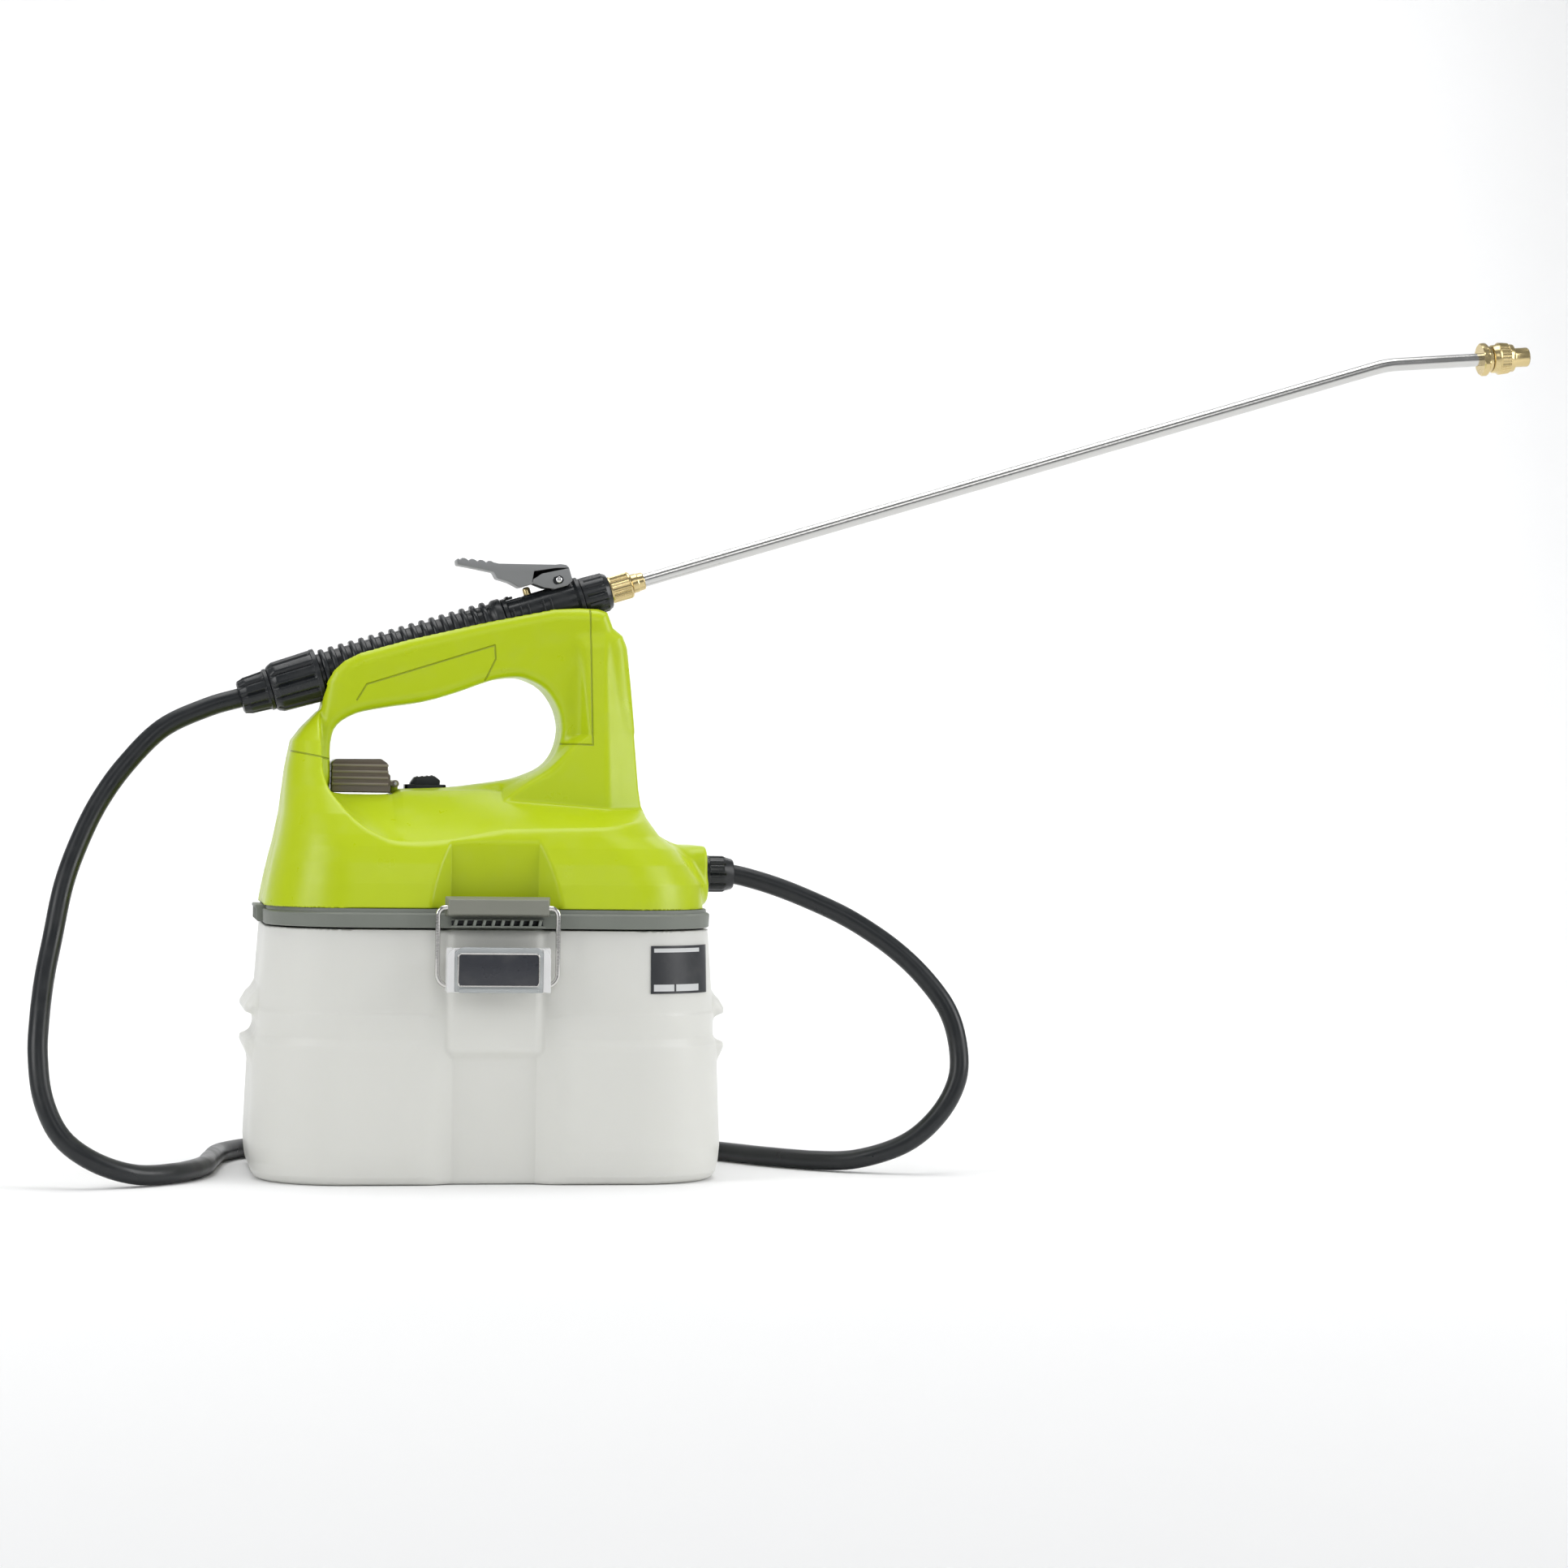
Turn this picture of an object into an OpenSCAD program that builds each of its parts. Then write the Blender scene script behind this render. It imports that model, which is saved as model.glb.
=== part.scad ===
// Hand-carried battery tank sprayer: a five-gallon-class shoulder housing on a
// translucent tank, with a hose and a lance that rests in the handle trough.
// Frame: centre of the tank base at the origin, X to the outlet side,
// -Y to the front latch, Z up. Millimetres.

/* [Tank] */
// outside width of the tank at its widest level
tank_w = 240; // [237:1:242]
// outside depth of the tank at its widest level
tank_d = 162; // [160:1:164]
// wall of the moulded tank
tank_wall = 3; // [2.4:0.2:3.6]
// plan radius of the tank corners
corner_r = 46; // [42:1:48]

/* [Housing] */
// wall of the housing shells
shell_wall = 3; // [2.6:0.2:3.2]
// thickness of the handle, front to back
handle_t = 35; // [34:1:37]
// slots cut in each ribbed catch
comb_slots = 10; // [6:1:11]

/* [Latches] */
// width of the latch levers
latch_w = 50; // [48:0.5:50]
// wire diameter of the latch bails
bail_d = 2.6; // [2.2:0.1:2.8]

/* [Lance] */
// outside diameter over the grip ribs
grip_d = 25; // [24:0.5:25.4]
// number of ribs on the grip
grip_ribs = 17; // [12:1:17]
// outside diameter of the steel wand
wand_d = 7; // [6:0.5:7.5]
// straight length of the wand ahead of the gland, before the bend
wand_len = 421; // [380:1:440]
// length of the wand after the bend, up to the nozzle
wand_end = 53; // [40:1:60]
// angle of the bend at the end of the wand
wand_bend = 12.3; // [8:0.1:20]

/* [Hose] */
// outside diameter of the hose
hose_d = 10; // [9:0.5:10]

/* [Hidden] */
$fn = 64;

// colours of the materials
c_tank = [0.88, 0.88, 0.85];
c_green = [0.72, 0.80, 0.12];
c_grey = [0.47, 0.49, 0.46];
c_black = [0.10, 0.10, 0.11];
c_steel = [0.75, 0.76, 0.77];
c_brass = [0.78, 0.62, 0.28];
c_smoke = [0.35, 0.32, 0.28];

// lance axis: tilt and the point on it that the stations are counted from
tilt = 17.3;
p0 = [-20, 0, 275.1];
rim_z = 127;
collar_z = 128;
head_z = 137.5;
deck_z = 198;

// ---------- helpers ----------
// rounded rectangle made of squares and circles, so its sides stay true
module rr(w, d, r) {
  q = min(r, min(w, d) / 2 - 0.01);
  square([w - 2 * q, d], center = true);
  square([w, d - 2 * q], center = true);
  for (sx = [-1, 1], sy = [-1, 1]) translate([sx * (w / 2 - q), sy * (d / 2 - q)]) circle(q);
}
// thin slab of that outline at a height, for the hulls below
module slab(z, w, d, r, cx = 0) translate([cx, 0, z]) linear_extrude(0.02) rr(w, d, r, $fn = 48);
// slab given by its two ends in X and its half depth
module slabx(z, x0, x1, hd, r) slab(z, x1 - x0, 2 * hd, r, (x0 + x1) / 2);
// carries children into the lance frame: X along the lance, Z square to it and up
module lance() translate(p0) rotate([0, -tilt, 0]) children();
// cylinder along X from a to b
module rod(a, b, r, r2 = -1) translate([a, 0, 0]) rotate([0, 90, 0]) cylinder(h = b - a, r1 = r, r2 = r2 < 0 ? r : r2);
// ring of n grip flutes along X, to cut from a nut
module flutes(a, b, r, n, d) for (i = [0 : n - 1]) rotate([i * 360 / n, 0, 0]) translate([a, 0, r]) rotate([0, 90, 0]) cylinder(h = b - a, d = d, $fn = 16);
// prism with an XZ outline, centred on Y
module xz(pts, t) rotate([90, 0, 0]) translate([0, 0, -t / 2]) linear_extrude(t) polygon(pts);

// ---------- tank ----------
module tank_low(k) hull() {
  slab(k > 0 ? tank_wall : 0, tank_w - 11 - 2 * k, tank_d - 11 - 2 * k, corner_r - 4 - k);
  slab(k > 0 ? tank_wall + 2 : 3, tank_w - 4.4 - 2 * k, tank_d - 4.4 - 2 * k, corner_r - k);
  slab(9, tank_w - 1.4 - 2 * k, tank_d - 1.4 - 2 * k, corner_r - k);
  slab(17, tank_w - 2 * k, tank_d - 2 * k, corner_r - k);
  slab(59, tank_w - 3.2 - 2 * k, tank_d - 2.4 - 2 * k, corner_r - k);
  slab(70, tank_w - 4.4 - 2 * k, tank_d - 3.6 - 2 * k, corner_r - k);
  slab(73, tank_w - 8.4 - 2 * k, tank_d - 7 - 2 * k, corner_r - k);
}
module tank_high(k) hull() {
  slab(70, tank_w - 8.2 - 2 * k, tank_d - 6.4 - 2 * k, corner_r - k);
  slab(93, tank_w - 8.8 - 2 * k, tank_d - 7 - 2 * k, corner_r - k);
  slab(rim_z - 0.02 + (k > 0 ? 1 : 0), tank_w - 13.4 - 2 * k, tank_d - 10 - 2 * k, corner_r - k);
}
// recess down the middle of the front and back, g = how far it is grown
module recess(g, z0, z1) for (m = [0, 1]) mirror([0, m, 0]) translate([0, 0, z0])
  linear_extrude(z1 - z0) polygon([[-37 - g, -90], [-37 - g, -tank_d / 2 - 0.2], [-21 - g, -tank_d / 2 + 8 + g],
    [21 + g, -tank_d / 2 + 8 + g], [37 + g, -tank_d / 2 - 0.2], [37 + g, -90]]);
module ears() for (m = [0, 1]) mirror([m, 0, 0]) translate([tank_w / 2 - 116.5, 0, 0])
  xz([[102, 57], [114.2, 58], [117.4, 62], [119, 66], [119, 69.6], [114.6, 71.2], [112.4, 74.4], [112.4, 78.2],
    [114.6, 81.4], [119, 83], [119, 86], [116, 91], [112.2, 94.5], [102, 96]], 72);
module tank() color(c_tank) difference() {
  union() {
    difference() {
      union() { tank_low(0); tank_high(0); ears(); }
      recess(0, -1, rim_z + 1);
      // the strap notches run round both ends
      for (m = [0, 1]) mirror([m, 0, 0]) translate([tank_w / 2 + 3.1, 0, 76.3]) rotate([90, 0, 0]) cylinder(h = 120, r = 7, center = true, $fn = 32);
    }
    // raised panel in each recess
    for (m = [0, 1]) mirror([0, m, 0]) translate([-24.7, -tank_d / 2 + 4.5, 64]) cube([49.4, 8, rim_z - 64]);
  }
  // hollow, kept off the recess and the notches
  difference() {
    union() { tank_low(tank_wall); tank_high(tank_wall); }
    recess(tank_wall, -1, 63.9 - tank_wall);
    recess(tank_wall, 60, rim_z + 5);
    for (m = [0, 1]) mirror([m, 0, 0]) translate([tank_w / 2 + 3.1, 0, 76.3]) rotate([90, 0, 0]) cylinder(h = 200, r = 7 + tank_wall, center = true, $fn = 32);
  }
  // rebates for the latch bracket screws stay solid; the rim stays flat
}
module tank_gasket() color(c_black) translate([0, 0, rim_z]) linear_extrude(1) difference() {
  rr(tank_w - 15, tank_d - 28.6, corner_r - 1);
  rr(tank_w - 29, tank_d - 40, corner_r - 8);
}
// grey ring that the housing stands on, with a small lug on its left end
module collar_ring() color(c_grey) difference() {
  union() {
    translate([0, 0, collar_z]) linear_extrude(head_z - collar_z) difference() {
      rr(tank_w - 13, tank_d - 4, corner_r);
      rr(tank_w - 27, tank_d - 34, corner_r - 9);
    }
    // lug on the left end, hollowed a little on its outer face
    translate([-tank_w / 2 + 2.6, -20, collar_z]) cube([8, 40, 9]);
  }
  translate([-tank_w / 2 + 2, -15, collar_z + 2]) cube([2, 30, 5]);
}
// ribbed catch on the ring, which the bail grip hooks over
module catch() difference() {
  translate([-23.4, -tank_d / 2 - 4.6, 128.8]) cube([46.8, 6.59, 4]);
  for (i = [0 : comb_slots - 1])
    translate([-21.6 + (i + 0.5) * 43.2 / comb_slots - 1.3, -90, 129.6]) cube([2.6, 9.6, 2.4]);
}
module catch_front() color(c_grey) catch();
module catch_rear() color(c_grey) mirror([0, 1, 0]) catch();
module base_plate() color(c_grey) difference() {
  translate([0, 0, head_z - 4]) linear_extrude(4) rr(tank_w - 27.4, tank_d - 34.4, corner_r - 9.2);
  translate([42, 0, head_z - 10]) cylinder(h = 20, r = 5.1, $fn = 32);
}

// ---------- housing ----------
// lower body in three tapering storeys, so that the right end can flare late
module body_outer() {
  hull() {
    slabx(head_z, -113.6, 110, tank_d / 2 - 4, corner_r - 2);
    slabx(150, -111.4, 109, 74.5, corner_r - 3);
    slabx(168, -107.2, 96, 68, 38);
  }
  hull() {
    slabx(168, -107.2, 96, 68, 38);
    slabx(180, -106.2, 82, 50, 30);
  }
  hull() {
    slabx(180, -106.2, 82, 50, 30);
    slabx(deck_z - 0.02, -102.8, 78, 21, 14);
  }
}
// its hollow, s = wall
module body_inner(s) {
  hull() {
    slabx(head_z - 1, -113.6 + s, 110 - s, tank_d / 2 - 4 - s, corner_r - 2 - s);
    slabx(150, -111.4 + s, 109 - s, 74.5 - s, corner_r - 3 - s);
    slabx(166, -107.6 + s, 95 - s, 68 - s, 38 - s);
  }
  hull() {
    slabx(166, -107.6 + s, 90 - s, 67 - s, 36 - s);
    slabx(180, -106.2 + s, 81 - s, 48 - s, 28 - s);
    slabx(deck_z - s - 2.62, -102.8 + s, 76 - s, 20 - s, 12 - s);
  }
}
module right_tower() hull() {
  slabx(178, 28, 81, 36, 14);
  slabx(200, 29, 78.4, 31, 14);
  slabx(250, 34, 73, 21, 10);
  slabx(276.5, 34, 70, handle_t / 2, 8);
}
module left_tower() hull() {
  slabx(176, -106.4, -60, 38, 16);
  slabx(205, -102.4, -74, 27, 12);
  slabx(221, -99.3, -75, 23, 10);
  slabx(228, -94, -76, 21, 9);
  slabx(233.6, -88, -77, 19, 8);
}
handle_out = [[-84, 226], [-83.4, 245], [-82.5, 251.3], [-79.5, 257.4], [-74, 262.5], [-66, 266.8], [-41, 274.2],
  [0.6, 284.3], [34.3, 291.4], [47, 291.6], [57, 291], [62, 289.5], [65, 281.5], [70, 277.5], [72, 271],
  [74, 250], [76, 228], [30, 196], [-70, 196]];
opening = [[-79.6, 210], [-79.8, 220], [-77.4, 228], [-67, 235], [-53.2, 238.2], [-32.4, 241.6], [-15.7, 246.6],
  [1.1, 252.8], [12, 254.8], [20, 254.2], [29.8, 249.5], [36.5, 239], [38.6, 228], [36, 217], [30, 209.4],
  [20, 204.6], [10.2, 202], [-6.6, 199.8], [-21.3, 198.6], [-44, 198], [-49, 195.6], [-79.4, 195.4]];
module head_solid() { head_cut(); door_lug(); }
// lug that holds the door pin, standing on the right edge of the bay
module door_lug() difference() {
  union() {
    translate([-48.2, -5.4, 193]) cube([3.6, 10.8, 6.4]);
    translate([-46.4, -5.4, 199.4]) rotate([-90, 0, 0]) cylinder(h = 10.8, r = 1.9, $fn = 24);
  }
  translate([-46.4, -20, 199.4]) rotate([-90, 0, 0]) cylinder(h = 40, r = 0.92, $fn = 24);
}
module head_cut() difference() {
  union() {
    body_outer();
    right_tower();
    left_tower();
    xz(handle_out, handle_t);
    // deck ramp up to the right tower
    xz([[-30, 190], [-30, 198], [-6.6, 199.8], [10.2, 202], [20, 204.6], [30, 209.4], [40, 220], [44, 190]], 30);
    // outlet boss
    translate([80, 0, 155]) rotate([0, 90, 0]) linear_extrude(33.5) rr(26, 40, 8);
  }
  // hand opening, through from front to back
  xz(opening, 140);
  // hollow of the lower body
  difference() {
    body_inner(shell_wall);
    // solid seats under the switch and round the outlet
    translate([-44, -9, 180]) cube([28, 18, 30]);
    // wall behind the recess above each latch
    for (m = [0, 1]) mirror([0, m, 0]) translate([0, 0, 130]) linear_extrude(60)
      polygon([[-41, -95], [-41, -tank_d / 2 + 1], [-24, -tank_d / 2 + 18], [24, -tank_d / 2 + 18], [41, -tank_d / 2 + 1], [41, -95]]);
  }
  // trough for the lance
  lance() {
    rod(-67, 120, grip_d / 2 + 0.6);
    translate([-67, -grip_d / 2 - 0.6, 0]) cube([187, grip_d + 1.2, 60]);
    rod(-140, -66.9, 14.6);
    translate([-140, -14.6, 0]) cube([73.1, 29.2, 60]);
  }
  // flat-bottomed recess above each latch
  for (m = [0, 1]) mirror([0, m, 0]) translate([0, 0, 130]) linear_extrude(60)
    polygon([[-37, -95], [-37, -tank_d / 2 + 0.4], [-22, -tank_d / 2 + 15], [22, -tank_d / 2 + 15], [37, -tank_d / 2 + 0.4], [37, -95]]);
  // bore for the outlet fitting
  translate([0, 0, 154.5]) rod(70, 130, 6.1);
  // window for the battery door and shaft down to the pack
  translate([-79.2, -17, 180]) cube([31.2, 32, 40]);
  // well for the switch
  translate([-41.2, -6.2, 186]) cube([21.4, 12.4, 30]);
  // screw bores
  for (q = screws) translate([q[0], 0, q[1]]) rotate([90, 0, 0]) translate([0, 0, -60]) cylinder(h = 72, r = 1.55, $fn = 24);
  for (q = screws) translate([q[0], handle_t / 2 - 4, q[1]]) rotate([-90, 0, 0]) cylinder(h = 60, r = 3.4, $fn = 24);
}
screws = [[56, 262], [60, 222], [-88, 218], [-44, 246.6], [8, 263]];
module shell_front() color(c_green) intersection() {
  head_solid();
  translate([-150, -100, 120]) cube([300, 100, 200]);
}
module shell_rear() color(c_green) intersection() {
  head_solid();
  translate([-150, 0, 120]) cube([300, 100, 200]);
}
module housing_screws() color(c_steel) for (q = screws) translate([q[0], 0, q[1]]) {
  translate([0, handle_t / 2 - 4, 0]) rotate([-90, 0, 0]) difference() {
    cylinder(h = 2.2, r = 3, $fn = 24);
    translate([0, 0, 1]) for (a = [0, 90]) rotate([0, 0, a]) translate([-1.8, -0.4, 0]) cube([3.6, 0.8, 2]);
  }
  translate([0, -10, 0]) rotate([-90, 0, 0]) cylinder(h = handle_t / 2 + 6, r = 1.5, $fn = 24);
}

// ---------- battery bay and switch ----------
module battery_door() color(c_smoke) difference() {
  union() {
    translate([-78.7, -16.5, 198.2]) rotate([90, 0, 90]) linear_extrude(30)
      polygon([[0, -2.6], [0, 9.5], [3.5, 13.6], [26, 13.6], [30, 10], [31, 3.4], [31, -2.6]]);
    // hinge knuckles and their webs
    for (y = [-12, 6]) translate([-46.4, y, 199.4]) rotate([-90, 0, 0]) cylinder(h = 6, r = 1.9, $fn = 24);
    for (y = [-12, 6]) translate([-49.2, y, 198.3]) cube([2.8, 6, 2.4]);
  }
  translate([-76.9, -14.7, 190]) rotate([90, 0, 90]) linear_extrude(26.4)
    polygon([[0, 0], [0, 16.5], [2.6, 19.9], [23.5, 19.9], [26.6, 17], [26.6, 0]]);
  translate([-46.4, -20, 199.4]) rotate([-90, 0, 0]) cylinder(h = 40, r = 0.95, $fn = 24);
  for (z = [198, 201, 204, 207]) translate([-80, -17.2, z]) cube([34, 1.2, 1.4]);
}
module door_pin() color(c_steel) translate([-46.4, -12.4, 199.4]) rotate([-90, 0, 0]) cylinder(h = 24.8, r = 0.9, $fn = 24);
module battery_pack() color(c_black) {
  translate([-96, -26, head_z + 0.5]) cube([52, 52, 36]);
  translate([-74, -13, head_z + 36.5]) cube([22, 26, 14]);
}
module battery_contacts() color(c_brass) for (y = [-8, 0, 8]) translate([-74 + 4, y - 2, head_z + 50.5]) cube([14, 4, 1]);
module switch_housing() color(c_black) difference() {
  translate([-41, -6, 186.5]) cube([21, 12, 12.3]);
  translate([-39.4, -4.6, 190]) cube([17.8, 9.2, 12]);
  translate([-30.5, -8, 195]) rotate([-90, 0, 0]) cylinder(h = 16, r = 1.25, $fn = 24);
}
module power_rocker() color(c_black) difference() {
  union() {
    translate([-30.5, 0, 195]) xz([[-7.4, 0.5], [-7.6, 4.6], [-5.5, 7.8], [4.5, 8.6], [7.4, 6.2], [7.2, 0.5], [3, -2.6], [-3, -2.6]], 8.4);
    translate([-30.5, -5.6, 195]) rotate([-90, 0, 0]) cylinder(h = 11.2, r = 1.2, $fn = 24);
  }
}

// ---------- motor, pump and pipework ----------
module motor_can() color(c_steel) translate([0, 0, 160]) difference() {
  union() { rod(-32, 12, 15); rod(12, 15, 6); }
  rod(-30, 10, 12.6);
  rod(9, 16, 1.65);
}
module motor_bracket() color(c_grey) difference() {
  translate([-24, -19, head_z + 0.1]) cube([30, 38, 26]);
  translate([0, 0, 160]) rod(-40, 20, 15.1);
}
module pump_head() color(c_black) difference() {
  union() {
    translate([15.2, -18, head_z + 4]) cube([40, 36, 36]);
    translate([0, 0, 154.5]) rod(55, 62, 5);
  }
  translate([0, 0, 160]) { rod(10, 24, 2); rod(21, 40, 10.4); }
  translate([42, 0, head_z + 2]) cylinder(h = 8, r = 4.05, $fn = 32);
  translate([0, 0, 154.5]) rod(52, 70, 3.1);
}
module pump_rotor() color(c_steel) translate([0, 0, 160]) {
  rod(-28, 22.5, 1.6);
  rod(-24, 6, 12.2);
  translate([0, 0, 2.5]) rod(22.5, 37, 7);
}
module intake_tube() color(c_steel) translate([42, 0, 16]) difference() {
  cylinder(h = head_z + 9 - 16, r = 4, $fn = 32);
  translate([0, 0, -1]) cylinder(h = head_z, r = 2.8, $fn = 32);
}
module intake_filter() color(c_black) difference() {
  translate([42, 0, tank_wall + 1.5]) cylinder(h = 16, r = 11);
  translate([42, 0, 16]) cylinder(h = 20, r = 4.02, $fn = 32);
  translate([42, 0, tank_wall + 4]) cylinder(h = 9, r = 8.6);
  for (a = [0 : 30 : 330]) translate([42, 0, tank_wall + 5]) rotate([0, 0, a]) translate([7, -1, 0]) cube([6, 2, 7]);
}
module outlet_tube() color(c_tank) translate([0, 0, 154.5]) difference() {
  rod(62.1, 84.9, 4.2);
  rod(60, 90, 2.6);
}
module outlet_fitting() color(c_black) translate([0, 0, 154.5]) difference() {
  union() { rod(85, 119, 6); rod(113.5, 115.6, 9.8); }
  rod(80, 130, 3);
}
module outlet_nut() color(c_black) translate([0, 0, 154.5]) difference() {
  union() { rod(115.7, 126.4, 9.4); rod(126.4, 131, 8.8, 7.4); }
  rod(110, 119.1, 6.05);
  rod(119, 140, hose_d / 2 + 0.35);
  flutes(114, 125.4, 10.1, 10, 2.2);
}
// ---------- hose ----------
// The hose is a tube swept along a smooth curve through these route points:
// out of the outlet, down to the floor, behind the tank, up on the left.
route = [[119.2, 0, 154.5], [131, 0, 154.5], [152, -1, 149], [173, -3, 141], [194, -6, 131], [215, -10, 117], [
  231, -14, 102], [243, -19, 85], [248, -23, 67], [247, -27, 49], [237, -29, 31], [220, -27, 16], [196, -18, 7], [
  174, -2, 5], [154, 20, 5], [135, 48, 5], [112, 76, 5], [78, 96, 5], [30, 106, 5], [-22, 107, 5], [-70, 102, 5], [
  -108, 84, 5], [-130, 50, 5], [-137, 10, 5], [-142, -26, 5], [-155, -58, 5], [-176, -78, 6], [-196, -86, 13], [
  -212, -86, 25], [-221, -81, 43], [-224, -74, 64], [-223.5, -65, 82], [-221.5, -53, 101], [-218, -42, 120], [
  -213, -31, 146], [-205.5, -21, 168], [-196, -13, 188], [-183, -7, 207], [-164.6, -2, 226], [-142, 0, 237.1], [
  -125.5, 0, 242.2], [-119.4, 0, 244.1]];
function cr(a, b, c, d, t) = 0.5 * (2 * b + (c - a) * t + (2 * a - 5 * b + 4 * c - d) * t * t + (3 * b - a - 3 * c + d) * t * t * t);
nr = len(route);
function at(i) = route[max(0, min(nr - 1, i))];
function above(p) = [p[0], p[1], max(p[2], hose_d / 2)];
hose_path = concat([for (i = [0 : nr - 2], k = [0 : 1]) above(cr(at(i - 1), at(i), at(i + 1), at(i + 2), k / 2))], [route[nr - 1]]);
function unit(v) = v / norm(v);
function tang(p, i, e) = i == 0 ? [1, 0, 0] : i == len(p) - 1 ? e : unit(p[i + 1] - p[i - 1]);
// side vector carried along the path so that the rings do not twist
function side(p, i, s, e) = let (t = tang(p, i, e)) unit(s - (s * t) * t);
function sides(p, e, i = 0, s = [0, 0, 1]) = i == len(p) ? [] : let (q = side(p, i, s, e)) concat([q], sides(p, e, i + 1, q));
// tube of radius r along points p, which starts along X and ends along e
module sweep(p, r, e, n = 12) {
  ss = sides(p, e);
  pts = [for (i = [0 : len(p) - 1], k = [0 : n - 1]) let (u = ss[i], v = cross(tang(p, i, e), u), a = k * 360 / n)
    p[i] + r * (cos(a) * u + sin(a) * v)];
  m = len(p);
  faces = concat([[for (k = [0 : n - 1]) k]],
    [for (i = [0 : m - 2], k = [0 : n - 1]) [i * n + k, (i + 1) * n + k, (i + 1) * n + (k + 1) % n, i * n + (k + 1) % n]],
    [[for (k = [n - 1 : -1 : 0]) (m - 1) * n + k]]);
  polyhedron(pts, faces, convexity = 10);
}
module hose() color(c_black) sweep(hose_path, hose_d / 2, [cos(tilt), 0, sin(tilt)]);

// ---------- latches ----------
// pivot of the lever and eye of the bail, in Y and Z
piv = [-85.5, 113.1];
eye = [-84.2, 99.6];
module mir(rear) mirror([0, rear ? 1 : 0, 0]) children();
module bracket() difference() {
  union() {
    translate([-15, -80.5, 104]) cube([30, 4, 11.3]);
    translate([-14, piv[0], piv[1] - 1.9]) cube([28, -76.5 - piv[0], 3.8]);
    translate([-14, piv[0], piv[1]]) rotate([0, 90, 0]) cylinder(h = 28, r = 2.7, $fn = 32);
  }
  translate([-20, piv[0], piv[1]]) rotate([0, 90, 0]) cylinder(h = 40, r = 1.27, $fn = 32);
}
module lever() difference() {
  union() {
    translate([-latch_w / 2, -91.4, 96.4]) cube([latch_w, 2.5, 22.8]);
    for (m = [0, 1]) mirror([m, 0, 0]) translate([latch_w / 2 - 3.4, -91, 97]) cube([3.4, 9.4, 20.6]);
    // finger lip
    translate([-latch_w / 2, -93.6, 96.4]) cube([latch_w, 3, 2.4]);
  }
  translate([-40, piv[0], piv[1]]) rotate([0, 90, 0]) cylinder(h = 80, r = 1.27, $fn = 32);
  translate([-40, eye[0], eye[1]]) rotate([0, 90, 0]) cylinder(h = 80, r = bail_d / 2 + 0.08, $fn = 32);
  // window for the badge
  translate([-18.4, -92, 99.6]) cube([36.8, 1.9, 16.2]);
}
module badge() translate([-18.3, -91.6, 99.7]) cube([36.6, 1.4, 16]);
module latch_pin() translate([-latch_w / 2 + 0.4, piv[0], piv[1]]) rotate([0, 90, 0]) cylinder(h = latch_w - 0.8, r = 1.25, $fn = 32);
module bail() {
  r = bail_d / 2;
  for (m = [0, 1]) mirror([m, 0, 0]) {
    translate([30, eye[0], 105.5]) cylinder(h = 29, r = r, $fn = 24);
    translate([26, eye[0], 134.5]) rotate([90, 0, 0]) rotate_extrude(angle = 90, $fn = 48) translate([4, 0]) circle(r, $fn = 24);
    translate([24.1, eye[0], 105.5]) rotate([90, 0, 0]) rotate_extrude(angle = -90, $fn = 48) translate([5.9, 0]) circle(r, $fn = 24);
    translate([21.8, eye[0], eye[1]]) rotate([0, 90, 0]) cylinder(h = 2.4, r = r, $fn = 24);
  }
  translate([-26, eye[0], 138.5]) rotate([0, 90, 0]) cylinder(h = 52, r = r, $fn = 24);
}
module bail_grip() difference() {
  translate([0, -79.9, 138.6]) rotate([90, 0, 0]) linear_extrude(7.4) rr(52.6, 10.8, 2.2);
  translate([-40, eye[0], 138.5]) rotate([0, 90, 0]) cylinder(h = 80, r = bail_d / 2 + 0.02, $fn = 24);
}
module latch_bracket_front() color(c_grey) bracket();
module latch_lever_front() color(c_tank) lever();
module latch_badge_front() color(c_black) badge();
module latch_pin_front() color(c_steel) latch_pin();
module latch_bail_front() color(c_steel) bail();
module bail_grip_front() color(c_grey) bail_grip();
module latch_bracket_rear() color(c_grey) mir(true) bracket();
module latch_lever_rear() color(c_tank) mir(true) lever();
module latch_badge_rear() color(c_black) mir(true) badge();
module latch_pin_rear() color(c_steel) mir(true) latch_pin();
module latch_bail_rear() color(c_steel) mir(true) bail();
module bail_grip_rear() color(c_grey) mir(true) bail_grip();
// blank plate that follows the front right corner of the tank
module rating_plate() color(c_black) difference() {
  intersection() {
    tank_high(-0.5);
    translate([78, -100, 95.7]) cube([32, 60, 24]);
  }
  tank_high(0);
}

// ---------- lance ----------
module hose_nut() color(c_black) lance() difference() {
  union() { rod(-110.5, -106.5, 8.2, 9.2); rod(-106.5, -96, 9.2, 10); rod(-96, -94.2, 10.8); }
  rod(-120, -104, hose_d / 2 + 0.35);
  rod(-105, -90, 4.05);
  flutes(-108, -97, 10.8, 10, 2.2);
}
module grip_nut() color(c_black) lance() difference() {
  union() { rod(-94, -90.5, 11.4, 13); rod(-90.5, -68, 13, 13.9); }
  rod(-100, -60, 5.62);
  flutes(-90, -71, 14.6, 12, 2.4);
}
module lance_core() color(c_black) lance() difference() {
  union() { rod(-94.1, 31.2, 5.6); rod(-103.9, -94.1, 4); }
  rod(-110, 40, 3);
}
module lance_grip() color(c_black) lance() difference() {
  union() {
    rod(-67.9, 31.1, 10.6);
    rod(26.6, 31.1, 12.2);
    for (i = [0 : grip_ribs - 1]) rod(-66 + i * 5.4, -66 + i * 5.4 + 2.9, grip_d / 2);
  }
  rod(-70, 40, 5.62);
}
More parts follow.
